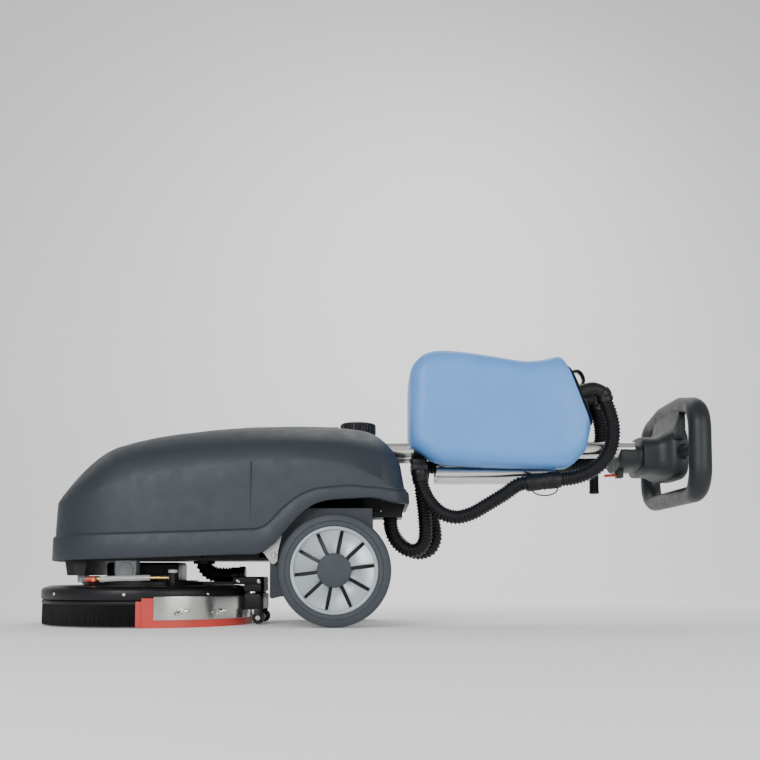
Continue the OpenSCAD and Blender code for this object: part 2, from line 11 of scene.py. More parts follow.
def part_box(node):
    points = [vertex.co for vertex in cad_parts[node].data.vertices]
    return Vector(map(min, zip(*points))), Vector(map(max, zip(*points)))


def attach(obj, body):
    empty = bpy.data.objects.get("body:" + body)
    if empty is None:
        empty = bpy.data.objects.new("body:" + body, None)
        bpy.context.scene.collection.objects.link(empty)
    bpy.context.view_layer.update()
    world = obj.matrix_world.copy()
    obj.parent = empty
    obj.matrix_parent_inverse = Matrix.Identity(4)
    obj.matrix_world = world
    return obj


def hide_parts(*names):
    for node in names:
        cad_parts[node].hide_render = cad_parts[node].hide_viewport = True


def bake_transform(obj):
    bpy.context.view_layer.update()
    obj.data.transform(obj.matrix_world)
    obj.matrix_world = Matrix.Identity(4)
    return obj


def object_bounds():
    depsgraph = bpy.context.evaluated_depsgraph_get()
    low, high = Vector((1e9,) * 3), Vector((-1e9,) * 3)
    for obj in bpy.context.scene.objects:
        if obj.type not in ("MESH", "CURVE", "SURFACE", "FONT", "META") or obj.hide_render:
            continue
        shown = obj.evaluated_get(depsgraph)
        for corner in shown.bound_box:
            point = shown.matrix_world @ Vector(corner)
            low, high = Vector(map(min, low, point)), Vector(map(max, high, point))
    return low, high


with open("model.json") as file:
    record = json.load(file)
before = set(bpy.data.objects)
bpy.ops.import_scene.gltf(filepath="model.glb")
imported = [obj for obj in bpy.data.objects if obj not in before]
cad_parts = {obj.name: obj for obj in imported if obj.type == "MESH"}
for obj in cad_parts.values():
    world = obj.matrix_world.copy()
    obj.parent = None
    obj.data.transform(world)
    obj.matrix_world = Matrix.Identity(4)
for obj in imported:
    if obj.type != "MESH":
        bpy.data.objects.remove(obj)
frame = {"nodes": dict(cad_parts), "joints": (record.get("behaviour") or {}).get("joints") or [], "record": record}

CAD_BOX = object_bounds()
NODES = frame["nodes"]
JOINTS = {j["name"]: j for j in frame["joints"]}
MM = 0.001
TUBE_Y = 0.056          # the column's two tubes stand this far from the middle


# ---------------------------------------------------------------- camera

def make_camera():
    """A studio camera at the height of the wheels' axle, looking at the near side."""
    low, high = CAD_BOX
    away, beyond_middle, height, pitch = 2.35, 0.031, 0.108, 4.3
    data = bpy.data.cameras.new("view_camera")
    data.lens = 51.8
    data.sensor_width = 36
    data.shift_y = 0.145
    camera = bpy.data.objects.new("view_camera", data)
    camera.location = ((low[0] + high[0]) / 2 + beyond_middle, -away, height)
    camera.rotation_euler = (math.radians(90 + pitch), 0, 0)
    bpy.context.scene.collection.objects.link(camera)
    bpy.context.scene.camera = camera


# ---------------------------------------------------------------- materials

def shader(name, colour, rough, metal=0.0, bump=0.15, size=900.0, spread=0.12, wear=0.06, **fixed):
    """A surface with fine relief, cloudy colour and uneven gloss, in object space."""
    m = bpy.data.materials.new(name)
    m.use_nodes = True
    tree, add = m.node_tree, m.node_tree.nodes.new
    surface = tree.nodes["Principled BSDF"]
    surface.inputs["Metallic"].default_value = metal
    for socket, value in fixed.items():
        surface.inputs[socket.replace("_", " ")].default_value = value
    where = add("ShaderNodeTexCoord").outputs["Object"]

    def noise(scale, detail):
        n = add("ShaderNodeTexNoise")
        n.inputs["Scale"].default_value = scale
        n.inputs["Detail"].default_value = detail
        tree.links.new(where, n.inputs["Vector"])
        return n.outputs["Fac"]

    def ramp(source, low, high, a=0.3, b=0.7):
        r = add("ShaderNodeValToRGB")
        r.color_ramp.elements[0].position, r.color_ramp.elements[1].position = a, b
        r.color_ramp.elements[0].color = (*low, 1)
        r.color_ramp.elements[1].color = (*high, 1)
        tree.links.new(source, r.inputs["Fac"])
        return r.outputs["Color"]

    dark = tuple(c * (1 - spread) for c in colour)
    light = tuple(min(1, c * (1 + spread)) for c in colour)
    tree.links.new(ramp(noise(14, 5), dark, light), surface.inputs["Base Color"])
    gloss = [(max(0.02, rough - wear),) * 3, (min(1, rough + wear),) * 3]
    tree.links.new(ramp(noise(45, 6), *gloss), surface.inputs["Roughness"])
    relief = add("ShaderNodeBump")
    relief.inputs["Strength"].default_value = bump
    relief.inputs["Distance"].default_value = 0.0004
    tree.links.new(noise(size, 3), relief.inputs["Height"])
    tree.links.new(relief.outputs["Normal"], surface.inputs["Normal"])
    return m


def brushed(name, colour, rough, stretch):
    """Metal with fine lines drawn out along the axes where stretch is small."""
    m = shader(name, colour, rough, metal=1.0, bump=0.1, spread=0.05, wear=0.05)
    tree = m.node_tree
    scale = tree.nodes.new("ShaderNodeMapping")
    scale.inputs["Scale"].default_value = stretch
    where = next(n for n in tree.nodes if n.type == "TEX_COORD").outputs["Object"]
    grain = [n for n in tree.nodes if n.type == "TEX_NOISE"][-1]
    tree.links.new(where, scale.inputs["Vector"])
    tree.links.new(scale.outputs["Vector"], grain.inputs["Vector"])
    grain.inputs["Scale"].default_value = 600
    return m


def make_materials():
    """One material for each slot named in the record, and a few for Blender's own pieces."""
    return {"hood_shell": shader("hood_plastic", (0.020, 0.028, 0.037), 0.5, bump=0.35, size=1500,
                                 spread=0.06), "chassis_grey": shader("chassis_plastic",
                                                                      (0.024, 0.031, 0.040), 0.5, bump=0.35,
                                                                      size=1500, spread=0.06),
            "black_steel": shader("black_steel", (0.006, 0.0065, 0.008), 0.4, bump=0.25, size=700,
                                  Specular_IOR_Level=0.35), "bright_steel": shader("bright_steel",
                                                                                   (0.72, 0.72, 0.70), 0.24,
                                                                                   metal=1.0, bump=0.08),
            "tube_steel": brushed("tube_steel", (0.78, 0.77, 0.74), 0.2, (0.03, 1, 1)),
            "band_steel": brushed("band_steel", (0.60, 0.62, 0.58), 0.22, (0.05, 0.05, 1)),
            "inner_plastic": shader("inner_plastic", (0.007, 0.008, 0.009), 0.5, bump=0.3,
                                    Specular_IOR_Level=0.3), "black_plastic": shader("black_plastic",
                                                                                     (0.007, 0.0075, 0.0085),
                                                                                     0.4, bump=0.2, size=1200,
                                                                                     Specular_IOR_Level=0.35),
            "handle_plastic": shader("handle_plastic", (0.008, 0.012, 0.014), 0.46, bump=0.4, size=1600),
            "hose_rubber": shader("hose_plastic", (0.007, 0.0075, 0.009), 0.38, bump=0.1, spread=0.2,
                                  Specular_IOR_Level=0.3), "clear_pvc": shader("clear_pvc",
                                                                               (0.86, 0.88, 0.87), 0.12,
                                                                               bump=0.05, spread=0.03,
                                                                               Transmission_Weight=0.35,
                                                                               IOR=1.45),
            "elbow_grey": shader("elbow_grey", (0.25, 0.27, 0.28), 0.4),
            "gear_alloy": shader("cast_alloy", (0.58, 0.62, 0.64), 0.42, metal=0.25, bump=0.6, size=500),
            "brass": shader("brass", (0.70, 0.50, 0.20), 0.28, metal=1.0, bump=0.1),
            "red_plastic": shader("red_plastic", (0.62, 0.05, 0.02), 0.3, bump=0.1),
            "white_plastic": shader("white_plastic", (0.78, 0.78, 0.75), 0.35, bump=0.1),
            "bristle_black": shader("black_bristle", (0.005, 0.005, 0.006), 0.5, bump=0.3, spread=0.3,
                                    Specular_IOR_Level=0.3), "bristle_blue": shader("blue_bristle",
                                                                                    (0.03, 0.08, 0.24), 0.4,
                                                                                    bump=0.3, spread=0.25),
            "squeegee_red": shader("squeegee_red", (0.60, 0.055, 0.045), 0.38, bump=0.15, spread=0.08),
            "roller_grey": shader("roller_grey", (0.035, 0.038, 0.042), 0.5, bump=0.2),
            "tank_blue": shader("tank_blue", (0.125, 0.35, 0.80), 0.42, bump=0.25, size=700, spread=0.06,
                                Subsurface_Weight=0.12), "button_green": shader("button_green",
                                                                                (0.03, 0.26, 0.08), 0.3),
            "button_blue": shader("button_blue", (0.03, 0.10, 0.45), 0.3),
            "key_metal": shader("key_metal", (0.8, 0.8, 0.8), 0.15, metal=1.0, bump=0.05),
            "tyre_rubber": shader("tyre_rubber", (0.044, 0.053, 0.063), 0.62, bump=0.4, size=900,
                                  spread=0.08), "rim_silver": shader("rim_silver", (0.44, 0.49, 0.52), 0.34,
                                                                     metal=0.35, bump=0.15, spread=0.04), }


# ---------------------------------------------------------------- mesh helpers

def mesh_object(name, bm):
    """A new object in the scene, made from a bmesh whose faces are turned outwards first."""
    bmesh.ops.recalc_face_normals(bm, faces=bm.faces)
    mesh = bpy.data.meshes.new(name)
    bm.to_mesh(mesh)
    bm.free()
    obj = bpy.data.objects.new(name, mesh)
    bpy.context.scene.collection.objects.link(obj)
    return obj


def shade(mesh, limit):
    """Smooth shading, with edges sharper than limit degrees kept sharp."""
    mesh.polygons.foreach_set("use_smooth", [True] * len(mesh.polygons))
    mesh.set_sharp_from_angle(angle=math.radians(limit))


def piece(name, bm, slot, body, replaced=(), limit=35):
    """Finish a bmesh as a visible piece that rides on a body and stands for the replaced CAD nodes."""
    bmesh.ops.remove_doubles(bm, verts=bm.verts, dist=1e-6)
    obj = mesh_object(name, bm)
    obj.data.materials.append(MATERIALS[slot])
    shade(obj.data, limit)
    if body:
        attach(obj, body)
    if replaced:
        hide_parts(*replaced)
    return obj


def loft(bm, rings, closed=True, caps=True):
    """Quads between rings of points; with caps the first and last ring are closed."""
    rows = [[bm.verts.new(p) for p in ring] for ring in rings]
    n = len(rows[0])
    for a, b in zip(rows, rows[1:]):
        for k in range(n if closed else n - 1):
            j = (k + 1) % n
            bm.faces.new((a[k], a[j], b[j], b[k]))
    if caps:
        bm.faces.new(rows[0][::-1])
        bm.faces.new(rows[-1])
    return rows


def angles(sides):
    """Evenly spaced angles for a whole turn."""
    return [2 * math.pi * k / sides for k in range(sides)]


def outward(a):
    """The level direction at angle a from +X."""
    return Vector((math.cos(a), math.sin(a), 0))


def turned(bm, profile, centre, axis="z", sides=64, caps=True, loop=False):
    """A profile of (radius, height) pairs turned about an axis; with loop its last pair joins its first."""
    rings = []
    for r, h in profile + profile[:1] if loop else profile:
        ring = []
        for a in angles(sides):
            u, v = r * math.cos(a), r * math.sin(a)
            ring.append({"z": (u, v, h), "y": (u, h, v), "x": (h, u, v)}[axis])
        rings.append([Vector(centre) + Vector(p) for p in ring])
    loft(bm, rings, caps=caps and not loop)


def soft_box(bm, low, high, r=0.004, segments=3):
    """A block with rounded edges."""
    made = bmesh.ops.create_cube(bm, size=1)["verts"]
    low, high = Vector(low), Vector(high)
    for v in made:
        v.co = (low + high) / 2 + Vector(c * s for c, s in zip(v.co, high - low))
    edges = list(dict.fromkeys(e for v in made for e in v.link_edges))
    bmesh.ops.bevel(bm, geom=made + edges, offset=r, segments=segments, profile=0.5, affect="EDGES")


def spline(points, step):
    """A smooth curve through points, with points about step apart."""
    p = [Vector(q) for q in points]
    p = [2 * p[0] - p[1]] + p + [2 * p[-1] - p[-2]]
    out = []
    for a, b, c, d in zip(p, p[1:], p[2:], p[3:]):
        n = max(2, int((c - b).length / step))
        for k in range(n):
            t = k / n
            out.append(0.5 * (2 * b + (c - a) * t + (2 * a - 5 * b + 4 * c - d) * t * t
                              + (3 * b - a - 3 * c + d) * t ** 3))
    return out + [p[-2]]


def even(points, step):
    """The same line with points evenly spaced."""
    line = np.array([tuple(p) for p in spline(points, step / 4)])
    far = np.concatenate([[0], np.cumsum(np.linalg.norm(np.diff(line, axis=0), axis=1))])
    n = max(2, round(far[-1] / step))
    at = np.linspace(0, far[-1], n + 1)
    return [Vector([np.interp(s, far, line[:, k]) for k in range(3)]) for s in at]


def tube(bm, line, radius, sides=20, side=Vector((0, 1, 0)), caps=True, flat=1.0):
    """A tube along a line square to side; radius is a number or a function of the point's index."""
    rings = []
    for i, p in enumerate(line):
        t = (line[min(i + 1, len(line) - 1)] - line[max(i - 1, 0)]).normalized()
        b = t.cross(side).normalized()
        r = radius(i) if callable(radius) else radius
        rings.append([p + r * (math.cos(a) * side * flat + math.sin(a) * b) for a in angles(sides)])
    loft(bm, rings, caps=caps)


# ---------------------------------------------------------------- hoses

HOSE_D = 0.031
WATER_HOSE_D = 0.012
RIB_PITCH = 0.0066
RIB_STEPS = 5


def millimetres(*points):
    """Points given in millimetres, as vectors in metres."""
    return [Vector(p) * MM for p in points]


DIRTY_ROUTE = millimetres(
    (54, -55, 226), (54, -55, 208), (60, -55, 184), (74, -55, 165), (94, -55, 154), (114, -55, 158),
    (125, -55, 175), (127, -55, 198), (124, -55, 240), (119, -55, 280), (118, -55, 304), (118, -55, 318))
VACUUM_ROUTE = millimetres(
    (54, -15, 226), (54, -15, 207), (66, -15, 180), (86, -15, 160), (112, -15, 150), (136, -15, 156),
    (148, -15, 176), (148, -15, 200), (140, -15, 240), (126, -15, 280), (118, -15, 303), (118, -15, 318))
OUTLET_ROUTE = millimetres(
    (114, -95, 318), (114, -95, 303), (125, -95, 270), (141, -95, 246), (162, -95, 229), (190, -95, 222),
    (222, -95, 230), (254, -95, 248), (290, -95, 270), (308, -95, 283), (322, -95, 290.5), (336, -95, 292))
TANK_ROUTE = millimetres((404, -95, 300), (430, -95, 302.8), (458, -95, 312), (484, -95, 328),
                         (504, -95, 352), (514, -95, 382), (515, -95, 412), (509, -95, 440), (501, -95, 462))
TANK_VACUUM_ROUTE = millimetres((130, 0, 334), (200, 0, 334), (290, 0, 334), (380, 0, 335), (440, 0, 338),
                                (475, 0, 346), (498, 0, 364), (509, 0, 392), (508, 0, 426), (500, 0, 456.4))
SUCTION_ROUTE = millimetres(
    (-345, 0, 131), (-345, 0, 124), (-337, 0, 112), (-322, 0, 104), (-304, 0, 102), (-287, 0, 102))
WATER_ROUTE = millimetres((-536, -128, 94), (-528, -128, 94), (-498, -128, 96), (-474, -128, 96),
                          (-444, -128, 97), (-434, -128, 97))


def corrugated(name, route, node, body, diameter=HOSE_D, pitch=RIB_PITCH):
    """A ribbed hose: rounded ribs with narrow grooves between them."""
    line = even(route, pitch / RIB_STEPS)
    full = diameter / 2
    depth = (0.0, 0.0, 0.12, 0.17, 0.12)
    bm = bmesh.new()
    tube(bm, line, lambda i: full * (1 - depth[i % RIB_STEPS]), sides=24)
    return piece(name, bm, "hose_rubber", body, [node], limit=80), line


def free_hose(name, route, node, body, blended=None):
    """A corrugated hose that rides on body; when blended is given, it is baked in place and rides on no body."""
    obj, line = corrugated(name, route, node, None if blended else body)
    if blended:
        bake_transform(obj)


def make_hoses():
    """The five dark hoses, the short suction hose and the clear water hose."""
    # The stretch where the loops behind the wheel pass between the hood and the column; it is passed on but not
    # used.
    slope = math.radians(16)
    lean = Vector((math.cos(slope), 0, math.sin(slope))) * 0.087
    for name, route, node in (("dirty_hose", DIRTY_ROUTE, "dirty_water_hose"),
                              ("vacuum_hose_ribbed", VACUUM_ROUTE, "vacuum_hose")):
        free_hose(name, route, node, None, ("chassis", "column", route[0], route[0] + lean))
    free_hose("outlet_hose_ribbed", OUTLET_ROUTE, "outlet_hose", "column")
    free_hose("tank_hose_ribbed", TANK_ROUTE, "tank_hose", None,
              ("column", "lid", TANK_ROUTE[-4], TANK_ROUTE[-1]))
    free_hose("tank_vacuum_ribbed", TANK_VACUUM_ROUTE, "tank_vacuum_hose", None,
              ("column", "lid", TANK_VACUUM_ROUTE[-3], TANK_VACUUM_ROUTE[-1]))
    obj, _ = corrugated("suction_hose_ribbed", SUCTION_ROUTE, "front_suction_hose", None, 0.034, 0.007)
    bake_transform(obj)
    line = even(WATER_ROUTE, 0.003)
    bm = bmesh.new()
    tube(bm, line, WATER_HOSE_D / 2, sides=20)
    piece("clear_water_hose", bm, "clear_pvc", "chassis", ["water_hose"])


# ---------------------------------------------------------------- hood

def plan_outline(n_side=60):
    """The hood's outline from above, as points with even steps, starting at the rear centre."""
    low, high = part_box("hood")
    half, rear, nose_x = high.y, 0.05, -0.400
    pts = [Vector((high.x, 0, 0))]
    for k in range(13):
        a = math.radians(7.5 * k)
        pts.append(Vector((high.x - rear + rear * math.cos(a), half - rear + rear * math.sin(a), 0)))
    for k in range(1, 49):
        # A superellipse: blunt at the front, with large soft corners.
        a = math.radians(90 * k / 48)
        pts.append(Vector((nose_x - (nose_x - low.x) * math.sin(a) ** (2 / 3), half * math.cos(a) ** (2 / 3),
                           0)))
    line = np.array([(p.x, p.y) for p in pts])
    far = np.concatenate([[0], np.cumsum(np.linalg.norm(np.diff(line, axis=0), axis=1))])
    at = np.linspace(0, far[-1], n_side * 2 + 1)
    side = [(np.interp(s, far, line[:, 0]), np.interp(s, far, line[:, 1])) for s in at]
    return side + [(x, -y) for x, y in side[-2:0:-1]]


def along(x, *pairs):
    """A height at x, read off a smoothed line through (x, height) pairs."""
    xs, zs = [p[0] * MM for p in pairs], [p[1] * MM for p in pairs]
    return float(np.mean([np.interp(x + d, xs, zs) for d in np.linspace(-0.012, 0.012, 9)]))


def hood_heights(x):
    """Lower edge, groove over the lip and crease of the hood at x."""
    edge = along(x, (-668, 130), (-377, 138), (-247, 143), (-206, 143), (-183, 158), (-160, 183),
                 (-138, 210), (-116, 231), (-93, 245), (-66, 251), (22, 256), (60, 246), (90, 244))
    groove = along(x, (-668, 181), (-346, 190), (-204, 195), (-186, 205), (-172, 224), (-148, 246),
                   (-127, 261), (-93, 275), (-24, 281), (90, 270))
    crease = along(x, (-668, 250), (-590, 260), (-509, 289), (-410, 309), (-312, 322), (-213, 331),
                   (-129, 335), (-58, 331), (-14, 323), (30, 300), (60, 284), (90, 276))
    return edge, groove, crease


def crown(x):
    """Height of the hood's middle line at x."""
    return along(x, (-540, 368), (-486, 386), (-440, 396), (-397, 403), (-310, 413), (-236, 418),
                 (-144, 419.5), (-55, 418))


def hood_rows():
    """Rings of points from the hood's lower edge up to its crown."""
    outline = plan_outline()
    spine_front, spine_rear = -0.50, -0.055
    rows = []

    def outward_at(x, y):
        return Vector((x + 0.29, y * 1.4, 0)).normalized()

    def inset(amount, height):
        ring = []
        for x, y in outline:
            p = Vector((x, y, 0)) - outward_at(x, y) * amount
            p.z = height(x)
            ring.append(p)
        rows.append(ring)

    edge = lambda x: hood_heights(x)[0]
    groove = lambda x: hood_heights(x)[1]
    crease = lambda x: max(hood_heights(x)[2], groove(x) + 0.006)
    inset(0.006, edge)
    inset(0.001, lambda x: edge(x) + 0.001)
    inset(0.0, lambda x: edge(x) + 0.004)
    inset(0.0005, lambda x: (edge(x) + groove(x)) / 2)
    inset(0.001, lambda x: groove(x) - 0.005)
    inset(0.003, lambda x: groove(x) - 0.001)
    inset(0.0065, lambda x: groove(x) + 0.001)
    inset(0.0065, lambda x: groove(x) + 0.003)
    for share in (0.15, 0.4, 0.7, 0.93):
        inset(0.006 + 0.004 * share, lambda x,
              s=share: groove(x) + 0.003 + (crease(x) - groove(x) - 0.003) * s)
    base = 0.0112
    inset(base, crease)
    steps = 22
    for k in range(1, steps + 1):
        t = k / steps
        t = 1 - (1 - t) ** 1.35 if k < steps else 1.0
        ring = []
        for x, y in outline:
            p = Vector((x, y, 0)) - outward_at(x, y) * base
            sx = min(max(p.x, spine_front), spine_rear)
            blunt = min(1.0, max(0.0, (spine_front - p.x) / 0.12))
            slow = math.sin(math.pi * t / 2) ** 0.92
            round_ = math.sqrt(1 - (1 - t) ** 2)
            rise = slow * blunt + round_ * (1 - blunt)
            q = p.lerp(Vector((sx, 0, 0)), t)
            q.z = crease(x) + (crown(sx) - crease(x)) * rise
            ring.append(q)
        rows.append(ring)
    return rows


def boolean(obj, shape_bm, operation):
    """Cut obj by the closed shape in a bmesh, and apply the result to its mesh."""
    other = mesh_object("cutter", shape_bm)
    cut = obj.modifiers.new("cut", "BOOLEAN")
    cut.operation, cut.object, cut.solver = operation, other, "EXACT"
    bpy.context.view_layer.update()
    shape = obj.evaluated_get(bpy.context.evaluated_depsgraph_get())
    mesh = bpy.data.meshes.new_from_object(shape)
    obj.modifiers.clear()
    obj.data = mesh
    bpy.data.objects.remove(other)


def reshade(obj, slot, limit):
    """One material and smooth shading again, after cuts have changed the mesh."""
    mesh = obj.data
    mesh.materials.clear()
    mesh.materials.append(MATERIALS[slot])
    mesh.polygons.foreach_set("material_index", [0] * len(mesh.polygons))
    shade(mesh, limit)


def hood_volume(thickness):
    """The hood as a thick shell, or filled where thickness is 0."""
    bm = bmesh.new()
    rows = hood_rows()
    if thickness:
        inner = [[Vector((p.x * (1 - 0.008) - 0.0023, p.y * 0.984, p.z - (0.003 if i > 12 else 0)))
                  for p in ring] for i, ring in enumerate(rows)]
        loft(bm, inner[::-1] + rows, caps=False)
    else:
        loft(bm, rows, caps=False)
        edges = [e for e in bm.edges if e.is_boundary]
        bmesh.ops.contextual_create(bm, geom=edges)
    bmesh.ops.remove_doubles(bm, verts=bm.verts, dist=2e-5)
    return bm


def make_hood():
    """The hood as a shell with its rear recess, the recess's liner and the two seam lines."""
    wall = 0.003
    pivot = Vector(JOINTS["column_fold"]["pos_m"])
    recess_half, recess_front, recess_floor = 0.088, pivot.x - 0.073, pivot.z - 0.029
    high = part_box("hood")[1]

    bm = hood_volume(wall)
    shell = piece("hood_moulding", bm, "hood_shell", "chassis", ["hood"])
    cutter = bmesh.new()
    soft_box(cutter, (recess_front, -recess_half, recess_floor), (high.x + 0.02, recess_half, high.z + 0.05),
             0.008)
    boolean(shell, cutter, "DIFFERENCE")
    reshade(shell, "hood_shell", 38)

    # Liner of the recess: its floor and cheeks, trimmed to the hood's own surface.
    liner = bmesh.new()
    soft_box(liner, (recess_front - wall, -recess_half - wall, recess_floor - wall),
             (high.x, recess_half + wall, high.z), 0.008)
    liner = piece("hood_recess", liner, "hood_shell", "chassis")
    hollow = bmesh.new()
    soft_box(hollow, (recess_front, -recess_half, recess_floor), (high.x + 0.02, recess_half, high.z + 0.05),
             0.008)
    boolean(liner, hollow, "DIFFERENCE")
    boolean(liner, hood_volume(0), "INTERSECT")
    for y in (-TUBE_Y, TUBE_Y):
        gap = bmesh.new()
        soft_box(gap, (pivot.x - 0.024, y - 0.027, recess_floor - 0.03),
                 (pivot.x + 0.024, y + 0.027, recess_floor + 0.01), 0.003)
        boolean(liner, gap, "DIFFERENCE")
    neck = bmesh.new()
    x = (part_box("filler_cap")[0].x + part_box("filler_cap")[1].x) / 2
    turned(neck, [(0.0262, recess_floor - 0.03), (0.0262, recess_floor + 0.02)], (x, 0, 0))
    boolean(liner, neck, "DIFFERENCE")
    reshade(liner, "hood_shell", 38)

    # Narrow seam line down both sides, where the two halves of the moulding meet.
    seam_x = -0.226
    _, groove, crease = hood_heights(seam_x)
    for side in (-1, 1):
        bm = bmesh.new()
        y = side * (high.y - 0.0085)
        soft_box(bm, (seam_x, y - 0.0022, groove + 0.004), (seam_x + 0.0016, y + 0.0022, crease - 0.001),
                 0.0004, 1)
        piece(f"hood_seam_{'near' if side < 0 else 'far'}", bm, "hood_shell", "chassis")


# ---------------------------------------------------------------- wheels

def make_wheels():
    """Both wheels: tyre, silver rim with leaning blades, a black disc behind the blades as painted shade in their
    gaps, and hub cap.
    """
    for side, name in ((-1, "left"), (1, "right")):
        body = f"{name}_wheel"
        low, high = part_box(f"{name}_tyre")
        centre = Vector(((low.x + high.x) / 2, 0, (low.z + high.z) / 2))
        r = (high.z - low.z) / 2
        out, inner = (low.y, high.y) if side < 0 else (high.y, low.y)
        width = abs(out - inner)

        def y(depth):
            return out - side * depth

        bead = r * 0.762
        profile = [(bead, width - 0.004), (bead + 0.004, width - 0.001), (r - 0.012, width),
                   (r - 0.004, width - 0.004), (r - 0.0008, width - 0.010), (r, width / 2),
                   (r - 0.0008, 0.010), (r - 0.0035, 0.0045), (r - 0.009, 0.001), (r - 0.014, 0.0002),
                   (r - 0.0155, 0.0013), (r - 0.017, 0.0002), (bead + 0.003, 0.0005), (bead + 0.0008, 0.0022),
                   (bead, 0.005)]
        bm = bmesh.new()
        profile = [(a, y(d)) for a, d in profile]
        turned(bm, profile, centre, "y", 128, loop=True)
        piece(f"{name}_tyre_moulded", bm, "tyre_rubber", body, [f"{name}_tyre"], limit=30)

        bm = bmesh.new()
        lip = [(bead + 0.0012, 0.006), (bead + 0.0014, 0.003), (bead, 0.0012), (bead - 0.003, 0.001),
               (bead - 0.0055, 0.0022), (bead - 0.0065, 0.006), (bead - 0.0075, 0.017),
               (bead - 0.0075, width - 0.006), (bead - 0.001, width - 0.004)]
        lip = [(a, y(d)) for a, d in lip]
        turned(bm, lip, centre, "y", 128, loop=True)
        # The dish behind the blades is black, not silver: painted shade, so the gaps between the blades look dark.
        dish = [(0.011, 0.012), (0.034, 0.012), (0.04, 0.014), (bead - 0.007, 0.0185), (bead - 0.007, 0.0215),
                (0.034, 0.024), (0.011, 0.024)]
        dish = [(a, y(d)) for a, d in dish]
        shade = bmesh.new()
        turned(shade, dish, centre, "y", 96, loop=True)
        piece(f"{name}_rim_painted_shade_disc", shade, "black_plastic", body, limit=30)
        hub = [(0.0101, 0.024), (0.020, 0.024), (0.024, width - 0.002), (0.0101, width - 0.002)]
        hub = [(a, y(d)) for a, d in hub]
        turned(bm, hub, centre, "y", 48, loop=True)
        # Each blade leans like a fan's: one long edge stands proud, the other sinks to the dish.
        blades, hub_r, tip_r = 10, 0.031, bead - 0.0062
        for k in range(blades):
            start = math.radians(360 / blades * k + 8)
            sweep = math.radians(360 / blades - 2.6)
            rings = []
            for i in range(9):
                radius = hub_r + (tip_r - hub_r) * i / 8
                flare = 0.74 + 0.20 * i / 8
                ring = []
                for a_share, depth in ((0, 0.0050), (0.06, 0.0034), (0.3, 0.0050), (0.65, 0.0085),
                                       (1, 0.0125), (1, 0.0165), (0.5, 0.0165), (0, 0.0165)):
                    a = start + sweep * (0.5 + (a_share - 0.5) * flare)
                    bowl = 0.0025 * math.sin(math.pi * i / 8)
                    ring.append(centre + Vector((radius * math.cos(a), y(depth + bowl),
                                                 radius * math.sin(a))))
                rings.append(ring)
            loft(bm, rings)
        piece(f"{name}_fan_rim", bm, "rim_silver", body, [f"{name}_rim"], limit=28)

        bm = bmesh.new()
        cap = [(0.0, -0.0030), (0.012, -0.0028), (0.024, -0.0020), (0.030, -0.0008), (0.0326, 0.0004),
               (0.0338, 0.0022), (0.0338, 0.013), (0.0, 0.013)]
        turned(bm, [(max(a, 0.0001), y(d)) for a, d in cap], centre, "y", 64)
        piece(f"{name}_hub_cap", bm, "tyre_rubber", body, limit=30)


# ---------------------------------------------------------------- recovery tank, lid and elbows

def rounded_section(bottom, top, half, r, n=8):
    """A rounded rectangle standing on the line from bottom to top, half as wide as half to each side."""
    up = (top - bottom).normalized()
    height = (top - bottom).length
    pts = []
    r = min(r, height / 2.05, half * 0.98)
    for cy, cz, start in ((half - r, height - r, 0), (-(half - r), height - r, 90),
                          (-(half - r), r, 180), (half - r, r, 270)):
        for k in range(n + 1):
            a = math.radians(start + 90 * k / n)
            pts.append(bottom + Vector((0, cy + r * math.cos(a), 0)) + up * (cz + r * math.sin(a)))
    return pts


def make_recovery_tank():
    """The blue tank, lofted between (bottom, top) lines in millimetres, with the channel for the tubes."""
    low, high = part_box("recovery_tank")
    ends = [((93, 370), (93, 520)), ((97, 366), (98, 537)), ((106, 361), (112, 553)),
            ((122, 350), (128, 563)), ((148, 332), (150, 568)), ((190, 328.5), (180, 567)),
            ((235, 326), (226, 562)), ((285, 324), (276, 554)), ((335, 323), (326, 545)),
            ((375, 322.5), (355, 546)), ((400, 322), (376, 549.5)), ((421, 323), (390, 553)),
            ((443, 343), (400, 555)), ((459, 361), (405, 555)), ((463, 386), (409.5, 551.5)),
            ((468, 404), (413, 546))]
    front_x, front_run, rear_x, rear_run = 93, 32, 445, 50
    face_half, belly, tuck = 108, 31, 14
    sections = []
    count = 56
    b = np.array([e[0] for e in ends], float)
    t = np.array([e[1] for e in ends], float)
    at = np.arange(len(ends))
    for u in np.linspace(0, len(ends) - 1, count):
        near = [u + d for d in (-0.35, 0, 0.35)]
        bx, bz = (np.mean([np.interp(v, at, b[:, k]) for v in near]) for k in (0, 1))
        tx, tz = (np.mean([np.interp(v, at, t[:, k]) for v in near]) for k in (0, 1))
        x = (bx + tx) / 2
        grow = min(1.0, max(0.0, (x - front_x) / front_run))
        tail = min(1.0, max(0.0, (rear_x - x) / rear_run))
        half = face_half + belly * math.sqrt(1 - (1 - grow) ** 2) - tuck * (1 - math.sqrt(1 - (1 - tail) ** 2))
        sections.append(rounded_section(Vector((bx, 0, bz)) * MM, Vector((tx, 0, tz)) * MM, half * MM, 0.036))
    bm = bmesh.new()
    loft(bm, sections)
    tank = piece("recovery_tank_moulding", bm, "tank_blue", "column", ["recovery_tank"])
    pivot = Vector(JOINTS["column_fold"]["pos_m"])
    channel = bmesh.new()
    soft_box(channel, (low.x - 0.02, -0.077, low.z - 0.05), (high.x + 0.02, 0.077, pivot.z + 0.0220), 0.010,
             4)
    boolean(tank, channel, "DIFFERENCE")
    reshade(tank, "tank_blue", 40)


